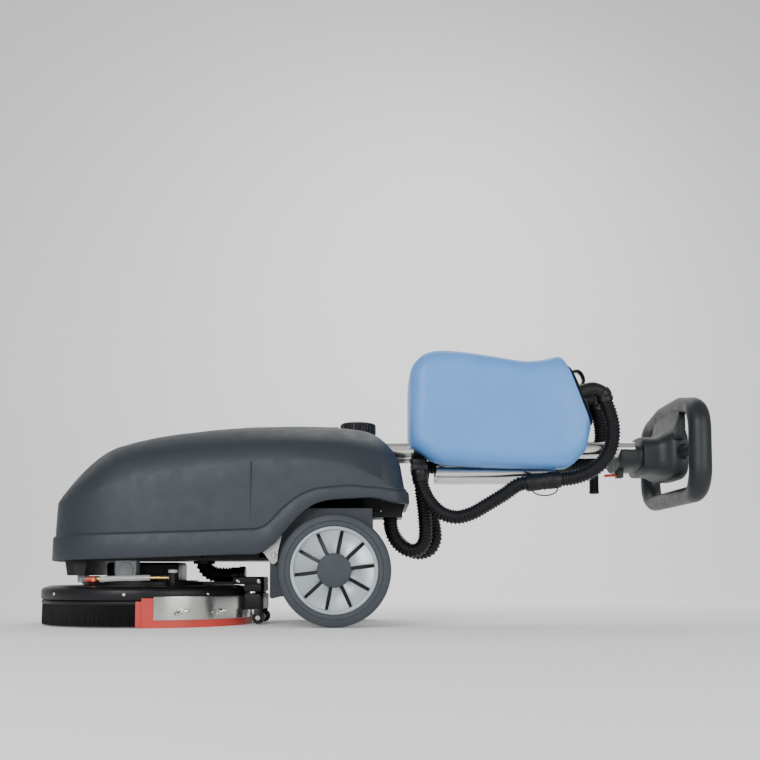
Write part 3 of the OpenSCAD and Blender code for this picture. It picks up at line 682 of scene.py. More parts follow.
def make_lid():
    """The tank's lid with its grip loop and two elbows."""
    axis = Vector(JOINTS["lid_lift"]["axis"]).normalized()
    up = Vector((-axis.z, 0, axis.x))
    base = Vector((0.4423, 0, 0.474))

    def place(x, z):
        """A point in the lid's own frame: x outward along its axis, z up the slant."""
        return base + axis * x + up * z

    rows = []
    for x, w, h, r in ((0.0005, 0.116, 0.064, 0.03), (0.0055, 0.119, 0.067, 0.03),
                       (0.0075, 0.117, 0.065, 0.029), (0.0085, 0.108, 0.056, 0.024),
                       (0.0125, 0.098, 0.047, 0.02), (0.0155, 0.086, 0.038, 0.018),
                       (0.0165, 0.07, 0.028, 0.016)):
        rows.append(rounded_section(place(x, -h), place(x, h), w, r))
    bm = bmesh.new()
    loft(bm, rows)
    piece("lid_moulding", bm, "black_plastic", "lid", ["tank_lid"], limit=32)

    # Grip loop: a flat band bent into an arch.
    arch = [place(x, z) for x, z in ((0.008, 0.0250), (0.024, 0.0250), (0.038, 0.0265), (0.0455, 0.032),
                                     (0.048, 0.041), (0.0465, 0.052), (0.040, 0.0590), (0.026, 0.0605),
                                     (0.008, 0.0605))]
    bm = bmesh.new()
    tube(bm, even(arch, 0.003), 0.0036, sides=16, flat=3.8)
    piece("lid_grip_loop", bm, "black_plastic", "lid")

    for name, route in (("near", ((449.3, -95, 481.5), (463, -95, 487), (478, -95, 488), (494.8, -95, 479.5),
                                  (501, -95, 462.5))), ("middle",
                                                        ((453.2, 0, 471.9), (467, 0, 477.4), (481, 0, 479),
                                                         (495.6, 0, 473), (500, 0, 456.5)))):
        line = even(millimetres(*route), 0.002)
        n = len(line)
        bm = bmesh.new()

        def radius(i):
            left = (n - 1 - i) * 0.002
            return 0.0148 + (0.0024 if left < 0.022 else 0) - (0.0012 if 0.008 < left < 0.011 else 0)

        tube(bm, line, radius, sides=32)
        extra = ["lid_elbows"] if name == "near" else []
        piece(f"lid_elbow_{name}", bm, "black_plastic", "lid", extra, limit=40)


# ---------------------------------------------------------------- deck, brush and squeegee

def deck_centre():
    """The brush's axis on the floor."""
    low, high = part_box("deck_plate")
    return Vector(((low.x + high.x) / 2, 0, 0))


def tuft(bm, foot, tip, r, sides=5):
    """A bundle of bristles from foot to tip, a little wider at its tip."""
    side = (tip - foot).cross(Vector((1, 0.3, 0))).normalized()
    other = (tip - foot).cross(side).normalized()
    rings = [[p + (math.cos(a) * side + math.sin(a) * other) * q
              for a in angles(sides)] for p, q in ((foot, r), (tip, r * 1.15))]
    loft(bm, rings)


def arc_ring(bm, centre, section, half_angle, steps=72, middle=0.0):
    """A closed section of (radius, height) pairs swept round an arc about +X."""
    rings = []
    for k in range(steps + 1):
        a = middle + half_angle * (2 * k / steps - 1)
        rings.append([centre + Vector((q * math.cos(a), q * math.sin(a), h)) for q, h in section])
    loft(bm, rings)


def make_deck():
    """The deck's pressing with its collar, and the screws round its rim."""
    centre = deck_centre()
    low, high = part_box("deck_plate")
    r, top, rim_low = (high.y - low.y) / 2, high.z - 0.009, low.z
    bm = bmesh.new()
    pressed = [(0.020, top - 0.004), (0.020, top), (0.150, top), (0.158, top - 0.0005), (0.196, top - 0.001),
               (0.206, top - 0.003), (r - 0.0035, top - 0.006), (r - 0.001, top - 0.009), (r, top - 0.013),
               (r, rim_low + 0.003), (r - 0.0008, rim_low + 0.0008), (r - 0.002, rim_low),
               (r - 0.0034, rim_low + 0.001), (r - 0.0035, top - 0.012), (r - 0.008, top - 0.010),
               (0.196, top - 0.005)]
    turned(bm, pressed, centre, "z", 160, loop=True)
    collar = [(0.097, top), (0.10395, top), (0.10395, top + 0.0074), (0.109, top + 0.0075),
              (0.109, top + 0.009), (0.097, top + 0.009)]
    turned(bm, collar, centre, "z", 96, loop=True)
    piece("deck_pressing", bm, "black_steel", "chassis", ["deck_plate"], limit=32)

    bm = bmesh.new()
    for k in range(8):
        out = outward(math.pi / 4 * k)
        at = centre + Vector((0, 0, 0.065))
        side = Vector((-out.y, out.x, 0))
        profile = [(0.0, r - 0.004), (0.002, r - 0.004), (0.002, r), (0.0034, r + 0.0001),
                   (0.0033, r + 0.001), (0.0024, r + 0.0020), (0.001, r + 0.0024)]
        rings = [[at + out * h + (side * math.cos(t) + Vector((0, 0, 1)) * math.sin(t)) * max(q, 0.0001)
                  for t in angles(20)] for q, h in profile]
        loft(bm, rings)
    piece("deck_screws", bm, "bright_steel", "chassis", ["deck_bolts"])


def make_skirt():
    """The skirt's clamp, then three staggered rows of bristles before a dark backing."""
    centre = deck_centre()
    reach = math.radians(104.5)
    low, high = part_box("skirt_holder")
    hr = (high.y - low.y) / 2
    bm = bmesh.new()
    band = [(hr - 0.0125, low.z), (hr - 0.002, low.z), (hr - 0.0006, low.z + 0.001), (hr, low.z + 0.003),
            (hr - 0.0004, high.z - 0.0025), (hr - 0.002, high.z - 0.0012), (hr - 0.004, high.z),
            (hr - 0.0125, high.z)]
    turned(bm, band, centre, "z", 160, loop=True)
    piece("skirt_clamp", bm, "black_plastic", "chassis", ["skirt_holder"])

    low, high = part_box("bristle_skirt")
    random.seed(5)
    bm = bmesh.new()
    skirt_r = (high.y - low.y) / 2
    for row in range(3):
        n = 520
        radius = skirt_r - 0.0012 - 0.0026 * row
        for k in range(n):
            a = math.pi + reach * (2 * (k + 0.5 * (row % 2) + 0.25) / n - 1)
            out = outward(a)
            across = Vector((-out.y, out.x, 0))
            foot = centre + out * radius + Vector((0, 0, high.z + 0.002))
            tip = centre + out * (radius + random.uniform(-0.0008, 0.0004)) + across * random.uniform(-0.0009,
                                                                                                      0.0009)
            tip.z = low.z + random.uniform(0, 0.0014)
            tuft(bm, foot, tip, 0.00085, 4)
    back = [(skirt_r - 0.0088, low.z + 0.004), (skirt_r - 0.0060, low.z + 0.004), (skirt_r - 0.0060, high.z),
            (skirt_r - 0.0088, high.z)]
    arc_ring(bm, centre, back, reach, 96, math.pi)
    piece("skirt_bristles", bm, "bristle_black", "chassis", ["bristle_skirt"], limit=50)


def make_brush():
    """Rings of blue tufts on the brush block."""
    centre = deck_centre()
    tuft_pitch = 0.0135
    low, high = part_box("brush_bristles")
    brush_r = (high.x - low.x) / 2
    random.seed(9)
    bm = bmesh.new()
    for radius in np.arange(0.098, brush_r - 0.004, tuft_pitch):
        n = int(2 * math.pi * radius / tuft_pitch)
        for k in range(n):
            out = outward(2 * math.pi * (k + random.uniform(-0.1, 0.1)) / n)
            foot = centre + out * radius + Vector((0, 0, high.z + 0.001))
            tip = centre + out * (radius + 0.002) + Vector((0, 0, low.z + random.uniform(0.0002, 0.0015)))
            tuft(bm, foot, tip, 0.0036, 7)
    piece("brush_tufts", bm, "bristle_blue", "brush", ["brush_bristles"], limit=50)


BLADE_T = 0.0035
BAND_T = 0.0015
ROLLER_Y = 0.058


def blade_radius():
    """Outer radius of the rear blade, which the band clamps."""
    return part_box("squeegee_blade")[1].x - deck_centre().x


def make_squeegee():
    """The red rear blade, the thinner inner lip and the steel band."""
    centre = deck_centre()
    blade_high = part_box("squeegee_blade")[1]
    outer = blade_radius()
    inner = outer - BLADE_T
    top = blade_high.z
    bm = bmesh.new()
    section = [(inner + 0.0012, 0.0), (outer, 0.0), (outer, 0.004), (outer, top - 0.0008),
               (outer - 0.0008, top), (inner + 0.0008, top), (inner, top - 0.0008), (inner, 0.006)]
    arc_ring(bm, centre, section, math.radians(81), 96)
    piece("squeegee_rubber", bm, "squeegee_red", "squeegee", ["squeegee_blade"], limit=40)

    bm = bmesh.new()
    lip = inner - 0.0003
    section = [(lip - 0.0014, 0.002), (lip - 0.0002, 0.0015), (lip, 0.004), (lip, 0.0515),
               (lip - 0.0014, 0.0515)]
    arc_ring(bm, centre, section, math.radians(84), 96)
    piece("squeegee_inner_lip", bm, "squeegee_red", "squeegee", limit=40)

    low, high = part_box("squeegee_band")
    bm = bmesh.new()
    t = BAND_T
    section = [(outer, low.z + 0.0003), (outer + t * 0.6, low.z), (outer + t, low.z + 0.0006),
               (outer + t, high.z - 0.003), (outer + t * 0.9, high.z - 0.0004), (outer - 0.002, high.z),
               (outer - 0.002, high.z - t), (outer, high.z - t - 0.0008)]
    arc_ring(bm, centre, section, math.radians(75), 96)
    piece("squeegee_clamp_band", bm, "band_steel", "squeegee", ["squeegee_band"], limit=40)


def make_wing_nuts():
    """Four wing nuts that stand out from the band."""
    start = blade_radius() + BAND_T
    stud_z = 0.030
    bm = bmesh.new()
    for degrees in (-61, -39, 39, 61):
        turn = Matrix.Rotation(math.radians(degrees), 4, "Z")
        nut = bmesh.new()
        turned(nut, [(0.0075, 0.0), (0.0075, 0.0009), (0.0055, 0.001), (0.0052, 0.0045), (0.0036, 0.0052),
                     (0.0025, 0.0054), (0.0025, 0.0108), (0.0018, 0.0118), (0.0001, 0.0118)],
               (start, 0, stud_z), "x", 24)
        for way in (-1, 1):
            wing = [Vector((start + a, way * b, stud_z + way * c)) for a, b,
                    c in ((0.0030, 0.0035, 0.0006), (0.0048, 0.0080, 0.0016), (0.0068, 0.0110, 0.0026),
                          (0.0080, 0.0124, 0.0030))]
            tube(nut, wing, 0.0021, sides=10, side=Vector((0, -0.35, 1)).normalized(), flat=1.8)
        bmesh.ops.transform(nut, matrix=Matrix.Translation(deck_centre()) @ turn, verts=nut.verts)
        mesh = bpy.data.meshes.new("nut")
        nut.to_mesh(mesh)
        nut.free()
        bm.from_mesh(mesh)
        bpy.data.meshes.remove(mesh)
    piece("squeegee_wing_nuts", bm, "bright_steel", "squeegee", ["wing_nuts"], limit=40)


def make_suction_foot():
    """The lower shoe hugs the band and the upper one sits over the deck's rim, with bolts through both."""
    centre = deck_centre()
    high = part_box("suction_block")[1]
    steps = 16

    def shoe(bm, z0, z1, near, half, rear, r=0.004):
        layers = []
        for z, cut in ((z0, r * 0.6), (z0 + r * 0.3, r * 0.15), (z0 + r, 0), (z1 - r, 0),
                       (z1 - r * 0.3, r * 0.15), (z1, r * 0.6)):
            ring = []
            for k in range(steps + 1):
                y = -half + 2 * half * k / steps
                ring.append(Vector((near(y) + cut, y * (1 - cut / half), z)))
            for k in range(steps, -1, -1):
                y = -half + 2 * half * k / steps
                corner = 0.006 * max(0.0, (abs(y) - half + 0.008) / 0.008) ** 2
                ring.append(Vector((rear - cut - corner, y * (1 - cut / half), z)))
            layers.append(ring)
        loft(bm, layers)

    bm = bmesh.new()
    hug = blade_radius() + BAND_T + 0.0002
    shoe(bm, 0.031, 0.064, lambda y: centre.x + math.sqrt(hug ** 2 - y * y), 0.062, high.x)
    shoe(bm, 0.083, 0.099, lambda y: -0.276, 0.052, high.x)
    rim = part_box("deck_plate")[1].y + 0.0015
    shoe(bm, 0.068, 0.0835, lambda y: centre.x + math.sqrt(rim ** 2 - y * y), 0.052, high.x, 0.002)
    soft_box(bm, (-0.234, -0.020, 0.0635), (-0.214, 0.020, 0.0685), 0.001)
    turned(bm, [(0.0145, -0.287), (0.0168, -0.287), (0.0172, -0.286), (0.0172, -0.270), (0.019, -0.268),
                (0.019, -0.258), (0.0175, -0.256), (0.001, -0.256)], (0, 0, 0.102), "x", 40)
    for y in (-ROLLER_Y, ROLLER_Y):
        for d in (-0.0075, 0.0075):
            soft_box(bm, (-0.231, y + d - 0.0015, 0.0065), (-0.215, y + d + 0.0015, 0.033), 0.001, 2)
    piece("suction_foot", bm, "black_plastic", "squeegee", ["suction_block"], limit=35)

    bm = bmesh.new()
    for y in (-ROLLER_Y, ROLLER_Y):
        turned(bm, [(0.0001, y - 0.0125), (0.0048, y - 0.0122), (0.0055, y - 0.0105), (0.003, y - 0.0092),
                    (0.003, y + 0.0092), (0.0055, y + 0.0105), (0.0048, y + 0.0122), (0.0001, y + 0.0125)],
               (-0.222, 0, 0.014), "y", 24)
    for x, z in ((-0.266, 0.0905), (-0.222, 0.0905)):
        turned(bm, [(0.001, -0.0562), (0.0035, -0.0560), (0.0055, -0.0545), (0.0058, -0.052),
                    (0.0058, -0.050), (0.001, -0.050)], (x, 0, z), "y", 24)
    piece("suction_foot_bolts", bm, "bright_steel", "squeegee")


def make_guide_rollers():
    """The two small rollers, turned with a groove in each face."""
    for name in ("left", "right"):
        low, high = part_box(f"{name}_guide_roller")
        y0, y1, r = low.y, high.y, (high.z - low.z) / 2
        bm = bmesh.new()
        profile = [(0.0031, y0 + 0.0008), (0.006, y0 + 0.0008), (0.0068, y0), (r * 0.70, y0),
                   (r * 0.74, y0 + 0.0012), (r * 0.82, y0 + 0.0012), (r * 0.87, y0), (r * 0.95, y0 + 0.0006),
                   (r, y0 + 0.0028), (r, y1 - 0.0028), (r * 0.95, y1 - 0.0006), (r * 0.87, y1), (0.0068, y1),
                   (0.0031, y1 - 0.0008)]
        turned(bm, profile, ((low.x + high.x) / 2, 0, (low.z + high.z) / 2), "y", 48, loop=True)
        piece(f"{name}_roller_turned", bm, "roller_grey", f"{name}_roller", [f"{name}_guide_roller"],
              limit=30)


def make_motor():
    """The motor's block with its ribs, on four round feet."""
    low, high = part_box("motor_block")
    bm = bmesh.new()
    soft_box(bm, (low.x, low.y, 0.084), (high.x, high.y, high.z - 0.003), 0.006)
    for x in (low.x + 0.022, low.x + 0.062, high.x - 0.03):
        soft_box(bm, (x - 0.002, low.y - 0.003, 0.087), (x + 0.002, low.y + 0.004, high.z - 0.004), 0.0012, 2)
    centre = deck_centre()
    for k in range(4):
        at = centre + outward(math.pi / 2 * k + math.pi / 4) * 0.06
        turned(bm, [(0.001, 0.0822), (0.008, 0.0822), (0.008, 0.0845), (0.001, 0.0845)], at, "z", 20)
    piece("motor_housing", bm, "black_steel", "chassis", ["motor_block"])


def make_gear_case():
    """A cast case, round below and square above, with a hub and screws on its face."""
    low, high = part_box("gear_housing")
    cx, cz, r = (low.x + high.x) / 2, low.z + (high.x - low.x) / 2, (high.x - low.x) / 2
    bm = bmesh.new()
    outline = [Vector((cx + r, 0, high.z)), Vector((cx - r, 0, high.z))]
    outline += [Vector((cx + r * math.cos(a), 0, cz + r * math.sin(a)))
                for a in (math.radians(180 + 7.5 * k) for k in range(25))]
    mid = Vector((cx, 0, cz))
    rings = []
    for y, scale in ((high.y, 1), (low.y + 0.006, 1), (low.y + 0.0035, 0.97), (low.y + 0.003, 0.90),
                     (low.y + 0.0045, 0.86), (low.y + 0.0045, 0.70)):
        rings.append([mid + (p - mid) * scale + Vector((0, y, 0)) for p in outline])
    loft(bm, rings)
    y = low.y
    turned(bm, [(0.0165, y + 0.006), (0.0165, y + 0.002), (0.0155, y + 0.0008), (0.0125, y + 0.0008),
                (0.0118, y + 0.003), (0.0085, y + 0.003), (0.0078, y + 0.0012), (0.0045, y + 0.001),
                (0.004, y + 0.0002), (0.001, y)], (cx, 0, cz), "y", 48)
    for degrees in (205, 250, 290, 335):
        a = math.radians(degrees)
        turned(bm, [(0.0024, y + 0.005), (0.0024, y + 0.0025), (0.0018, y + 0.002), (0.0001, y + 0.002)],
               (cx + 0.0192 * math.cos(a), 0, cz + 0.0192 * math.sin(a)), "y", 14)
    for x in (-0.011, 0.0, 0.011):
        soft_box(bm, (cx + x - 0.0035, y + 0.0025, cz + 0.0175), (cx + x + 0.0035, y + 0.006, cz + 0.0185),
                 0.0004, 1)
    piece("gear_case", bm, "gear_alloy", "chassis", ["gear_housing"], limit=30)


# ---------------------------------------------------------------- filler, column and handle

BAR_R = 0.019


def make_filler():
    """The filler's cap: a ribbed skirt, a dished top and a grip bar across it."""
    low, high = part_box("filler_cap")
    x = (low.x + high.x) / 2
    bm = bmesh.new()
    z0, z1 = low.z, high.z
    groove = 0.949
    sides = 180
    profile = [(27.2, z0), (36.8, z0), (38.4, z0 + 0.0012), (38.8, z0 + 0.004), (38.4, z1 - 0.006),
               (37.6, z1 - 0.0032), (34.0, z1 - 0.0006), (31.5, z1), (30.2, z1 - 0.0012), (6.0, z1 - 0.0016),
               (0.1, z1 - 0.0016)]
    rings = []
    for i, (r, z) in enumerate(profile):
        ring = []
        for k in range(sides):
            a = 2 * math.pi * k / sides
            ribbed = r * MM * (groove if i in (2, 3, 4) and k % 6 not in (2, 3, 4) else 1)
            ring.append(Vector((x + ribbed * math.cos(a), ribbed * math.sin(a), z)))
        rings.append(ring)
    inside = [[Vector((x + r * math.cos(2 * math.pi * k / sides), r * math.sin(2 * math.pi * k / sides), z))
               for k in range(sides)] for r, z in ((0.0270, z0 + 0.014), (0.0270, z0 + 0.0005))]
    loft(bm, inside + rings)
    soft_box(bm, (x - 0.026, -0.0035, z1 - 0.004), (x + 0.026, 0.0035, z1 - 0.0004), 0.0012)
    piece("filler_cap_knurled", bm, "black_plastic", "cap", ["filler_cap"], limit=30)


def oval(x, half_y, z0, z1, sides=64, power=2.6):
    """A ring of points square to X: an ellipse, squarer as power grows."""
    mid, rz = (z0 + z1) / 2, (z1 - z0) / 2
    ring = []
    for a in angles(sides):
        c, s = math.cos(a), math.sin(a)
        ring.append(Vector((x, half_y * abs(c) ** (2 / power) * (1 if c > 0 else -1),
                            mid + rz * abs(s) ** (2 / power) * (1 if s > 0 else -1))))
    return ring


def make_neck():
    """The sleeve below the control head, with the two lugs and the pin of the angle lever under it."""
    low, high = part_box("neck_collar")
    bm = bmesh.new()
    top, bottom = high.z, 0.322
    loft(bm, [oval(low.x + x, y, bottom + d, top - d) for x, y,
              d in ((0.0, 0.071, 0.004), (0.0015, 0.074, 0.001), (0.004, 0.0755, 0.0), (0.036, 0.0755, 0.0),
                    (0.0385, 0.0755, 0.0), (0.0395, 0.0735, 0.002), (0.042, 0.0735, 0.002),
                    (0.0485, 0.074, 0.001))])
    for y in (-0.041, -0.024):
        soft_box(bm, (0.534, y, 0.308), (0.548, y + 0.005, 0.326), 0.0015, 2)
    turned(bm, [(0.0001, -0.043), (0.0045, -0.043), (0.005, -0.0418), (0.003, -0.0412), (0.003, -0.0188),
                (0.005, -0.018), (0.0045, -0.017), (0.0001, -0.017)], (0.541, 0, 0.314), "y", 20)
    piece("neck_sleeve", bm, "handle_plastic", "column", ["neck_collar"], limit=35)


def make_control_head():
    """The flared head, and the console that joins it to the ring's upper bar."""
    bm = bmesh.new()
    head = [(0.5825, 76, 315, 393), (0.584, 79, 312.5, 395.5), (0.588, 80, 312, 396), (0.612, 80, 312, 396),
            (0.622, 83, 309, 399), (0.632, 90, 305, 406), (0.638, 96, 303.5, 409.5), (0.644, 99, 303, 411),
            (0.664, 99.5, 303, 411), (0.669, 98, 304, 410), (0.6715, 94, 307, 407), (0.672, 90, 310, 404),
            (0.6705, 88, 312, 402), (0.6705, 40, 340, 370)]
    loft(bm, [oval(x, y * MM, a * MM, b * MM, 96, 3.2 if x < 0.62 else 4.2) for x, y, a, b in head])
    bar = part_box("handle_ring")[1].z - BAR_R
    console = []
    for x, y, low_z, top_z, inset in ((0.6395, 0.096, 0.385, 0.401, 0.004), (0.6405, 0.106, 0.380, 0.409, 0),
                                      (0.646, 0.108, 0.375, 0.425, 0), (0.651, 0.108, 0.372, bar - 0.006, 0),
                                      (0.656, 0.106, 0.370, bar - 0.004, 0),
                                      (0.664, 0.102, 0.370, bar - 0.004, 0),
                                      (0.668, 0.084, 0.371, bar - 0.002, 0.002),
                                      (0.6695, 0.080, 0.375, bar - 0.006, 0.004)):
        console.append(oval(x, y - inset, low_z, top_z, 96, 4.5))
    loft(bm, console)
    piece("control_head", bm, "handle_plastic", "column", ["control_box"], limit=32)


def make_panel():
    """A thin plate behind the controls, with a bezel round each and a row of small lamps."""
    bm = bmesh.new()
    soft_box(bm, (0.6700, -0.082, 0.366), (0.6712, 0.082, 0.404), 0.0005, 2)
    piece("panel_plate", bm, "black_plastic", "column", limit=32)

    bm = bmesh.new()
    for y in (-0.024, 0.024):
        turned(bm, [(0.0095, 0.6695), (0.0125, 0.6700), (0.0132, 0.6712), (0.0125, 0.6722), (0.0095, 0.6724)],
               (0, y, 0.380), "x", 40)
    turned(bm, [(0.0082, 0.6695), (0.0118, 0.6700), (0.0122, 0.6712), (0.0115, 0.6722), (0.0082, 0.6724)],
           (0, 0, 0.345), "x", 40)
    for k in range(5):
        y = -0.030 + 0.015 * k
        turned(bm, [(0.0001, 0.6700), (0.0026, 0.6702), (0.0024, 0.6716), (0.0001, 0.6720)], (0, y, 0.322),
               "x", 16)
    piece("panel_bezels", bm, "black_plastic", "column")


def make_ring_handle():
    """One closed tube whose section swells at the two grips, and which arches over the top."""
    low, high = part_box("handle_ring")
    grip_r, bar_r = (high.x - low.x) / 2, BAR_R
    x, half, z0, z1 = (low.x + high.x) / 2, high.y - grip_r, low.z + bar_r, high.z - bar_r - 0.014
    corner = 0.052
    line = []
    for cy, cz, start in ((half - corner, z1 - corner, 0), (-half + corner, z1 - corner, 90),
                          (-half + corner, z0 + corner, 180), (half - corner, z0 + corner, 270)):
        for k in range(9):
            a = math.radians(start + 11.25 * k)
            line.append(Vector((x, cy + corner * math.cos(a), cz + corner * math.sin(a))))
    closed = np.array([tuple(p) for p in line + [line[0]]])
    far = np.concatenate([[0], np.cumsum(np.linalg.norm(np.diff(closed, axis=0), axis=1))])
    count = 220
    at = np.linspace(0, far[-1], count, endpoint=False)
    path = [Vector([np.interp(s, far, closed[:, k]) for k in range(3)]) for s in at]
    for p in path:
        # The upper bar arches towards the middle.
        if p.z > (z0 + z1) / 2:
            p.z += 0.0145 * min(1.0, max(0.0, (half - 0.03 - abs(p.y)) / 0.10)) ** 1.2
    rings = []
    for i, p in enumerate(path):
        t = (path[(i + 1) % count] - path[i - 1]).normalized()
        out = t.cross(Vector((1, 0, 0))).normalized()
        grip = min(1.0, max(0.0, (abs(p.y) - half + 0.055) / 0.05))
        grip = grip * grip * (3 - 2 * grip)
        r_out, r_x = 0.0175 + 0.0045 * grip, bar_r + (grip_r - bar_r) * grip
        rings.append([p + out * r_out * math.cos(a) + Vector((1, 0, 0)) * r_x * math.sin(a)
                      for a in angles(28)])
    bm = bmesh.new()
    loft(bm, rings + [rings[0]], caps=False)
    for side in (-1, 1):
        spoke = [Vector((x - 0.002, side * y, 0.358)) for y in np.linspace(0.094, half - 0.006, 12)]
        n = len(spoke)
        tube(bm, spoke, lambda i: 0.0125 + 0.006 * (2 * i / (n - 1) - 1) ** 4, sides=24,
             side=Vector((1, 0, 0)))
    piece("ring_handle", bm, "handle_plastic", "column", ["handle_ring"], limit=50)


def make_drain_stub():
    """The drain spigot with its hose lip and shoulder, and the bend that leads to the tank."""
    low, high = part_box("drain_spigot")
    centre = Vector((high.x - 0.013, (low.y + high.y) / 2, 0))
    foot = centre + Vector((0, 0, low.z))
    bm = bmesh.new()
    turned(bm, [(0.008, 0.06), (0.008, 0.0), (0.0102, 0.0), (0.011, 0.0012), (0.011, 0.006), (0.0105, 0.0075),
                (0.0105, 0.050), (0.0128, 0.0565), (0.0128, 0.092), (0.0005, 0.0925)], foot, "z", 40,
           caps=False)
    bend = [centre + Vector(p) * MM for p in ((0, 0, 350), (0, 0, 368), (-3, 0, 374), (-12, 0, 376),
                                              (-30, 0, 376), (-52, 0, 376))]
    tube(bm, even(bend, 0.003), 0.0108, sides=32)
    piece("drain_stub", bm, "black_plastic", "column", ["drain_spigot"], limit=40)


def make_coupling():
    """The coupling between two hoses, with its release tongue and its strap."""
    start, end = OUTLET_ROUTE[-1], TANK_ROUTE[0]
    axis = (end - start).normalized()
    whole = (end - start).length
    side = Vector((0, 1, 0))
    up = side.cross(axis).normalized() * -1
    bm = bmesh.new()
    profile = [(0.0150, -0.001), (0.0172, -0.001), (0.0178, 0.001), (0.0178, 0.026), (0.0170, 0.028),
               (0.0166, 0.031), (0.0180, 0.033), (0.0182, 0.036), (0.0172, 0.038), (0.0172, 0.042),
               (0.0180, 0.044), (0.0180, 0.062), (0.0174, 0.064), (0.0170, whole + 0.001),
               (0.0150, whole + 0.001)]
    rings = [[start + axis * h + (side * math.cos(a) + up * math.sin(a)) * r
              for a in angles(40)] for r, h in profile]
    loft(bm, rings)
    # Release tongue of the left cuff.
    tongue = [start + axis * h + up * v for h, v in ((0.012, 0.0172), (0.004, 0.0215), (-0.004, 0.0245))]
    tube(bm, tongue, 0.0016, sides=12, flat=2.6)
    piece("hose_coupling_moulded", bm, "black_plastic", "column", ["hose_coupling"], limit=35)

    strap = [start + axis * h - up * v + Vector((0, -0.003, 0)) for h,
             v in ((0.008, 0.0172), (0.014, 0.0235), (0.026, 0.0285), (0.040, 0.0300), (0.052, 0.0275),
                   (0.059, 0.0225), (0.060, 0.0172))]
    bm = bmesh.new()
    tube(bm, even(strap, 0.003), 0.0014, sides=12, flat=2.2)
    piece("coupling_strap", bm, "hose_rubber", "column")


def make_manifold():
    """The manifold under the tubes, with its clamps and hose sockets."""
    pivot = Vector(JOINTS["column_fold"]["pos_m"])
    bm = bmesh.new()
    soft_box(bm, (0.098, -0.113, 0.318), (0.130, 0.016, 0.330), 0.002)
    soft_box(bm, (0.098, -0.0735, 0.329), (0.130, 0.0735, 0.347), 0.004)
    for y in (-TUBE_Y, TUBE_Y):
        profile = [(0.0176, 0.102), (0.0202, 0.102), (0.0210, 0.1028), (0.0210, 0.1252), (0.0202, 0.126),
                   (0.0176, 0.126)]
        turned(bm, profile, (0, y, pivot.z), "x", 48, loop=True)
        soft_box(bm, (0.106, y - 0.005, pivot.z + 0.0195), (0.122, y + 0.005, pivot.z + 0.0265), 0.0012, 2)
    for route, down in ((DIRTY_ROUTE, 1), (VACUUM_ROUTE, 1), (OUTLET_ROUTE, 0)):
        p, q = (route[-1], route[-2]) if down else (route[0], route[1])
        away = (q - p).normalized()
        cuff = [p + away * d for d in (-0.002, 0.0, 0.006, 0.010, 0.012, 0.020, 0.022)]
        tube(bm, cuff, lambda i: (0.0165, 0.0175, 0.0175, 0.0172, 0.0164, 0.0164, 0.0158)[i], sides=32)
    piece("hose_manifold", bm, "black_plastic", "column", ["hose_junction"], limit=35)


def make_nozzle():
    """The water nozzle's black body with a white cap."""
    low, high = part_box("nozzle_fitting")
    centre = ((low.x + high.x) / 2, (low.y + high.y) / 2, 0)
    bm = bmesh.new()
    z, top = low.z, high.z
    turned(bm, [(0.0001, z), (0.0092, z), (0.0094, z + 0.0012), (0.0094, z + 0.003), (0.0078, z + 0.0042),
                (0.0076, top - 0.0068), (0.0001, top - 0.0066)], centre, "z", 32)
    piece("nozzle_body", bm, "black_plastic", "chassis", ["nozzle_fitting"], limit=35)
    bm = bmesh.new()
    turned(bm, [(0.0001, top - 0.0068), (0.0086, top - 0.0068), (0.0095, top - 0.0058),
                (0.0095, top - 0.0018), (0.0088, top - 0.0006), (0.0060, top), (0.0001, top)], centre, "z",
           32)
    piece("nozzle_cap", bm, "white_plastic", "chassis", limit=35)


def make_valve_lever():
    """The red lever on the water valve: a hub and a paddle."""
    low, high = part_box("valve_handle")
    bm = bmesh.new()
    x, z = high.x - 0.006, (low.z + high.z) / 2
    turned(bm, [(0.0031, low.y + 0.0002), (0.0055, low.y + 0.0002), (0.006, low.y + 0.001), (0.006, high.y),
                (0.0031, high.y)], (x, 0, z), "y", 32, caps=False)
    paddle = [Vector((x - d, low.y + 0.0026, z + rise)) for d,
              rise in ((0.004, 0), (0.009, 0.0), (0.0135, -0.0006), (0.0158, -0.0008))]
    tube(bm, paddle, 0.0023, sides=16, side=Vector((0, 0, 1)), flat=2.2)
    piece("valve_lever", bm, "red_plastic", "valve_lever", ["valve_handle"], limit=40)


def make_buttons():
    """The two buttons, each with a domed edge and a shallow dish."""
    for name, body, slot in (("brush_button", "brush_switch", "button_green"),
                             ("water_button", "water_switch", "button_blue")):
        low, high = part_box(name)
        centre = (0, (low.y + high.y) / 2, (low.z + high.z) / 2)
        bm = bmesh.new()
        r = (high.y - low.y) / 2
        turned(bm, [(0.0002, low.x), (r, low.x), (r, high.x - 0.0014), (r - 0.0012, high.x - 0.0002),
                    (r * 0.6, high.x - 0.0009), (0.0002, high.x - 0.0014)], centre, "x", 40)
        piece(f"{name}_domed", bm, slot, body, [name], limit=30)


def make_tilt_lever():
    """The red lever under the neck that sets the column's angle."""
    bm = bmesh.new()
    line = [Vector((x, -0.030, z)) for x, z in ((0.545, 0.3140), (0.541, 0.3142), (0.530, 0.3142),
                                                (0.520, 0.3138), (0.5125, 0.3130), (0.5085, 0.3122))]
    tube(bm, line, lambda i: (0.0030, 0.0042, 0.0034, 0.0032, 0.0033, 0.0020)[i], sides=20, flat=1.3)
    piece("tilt_lever", bm, "red_plastic", "lever", ["angle_lever"], limit=40)


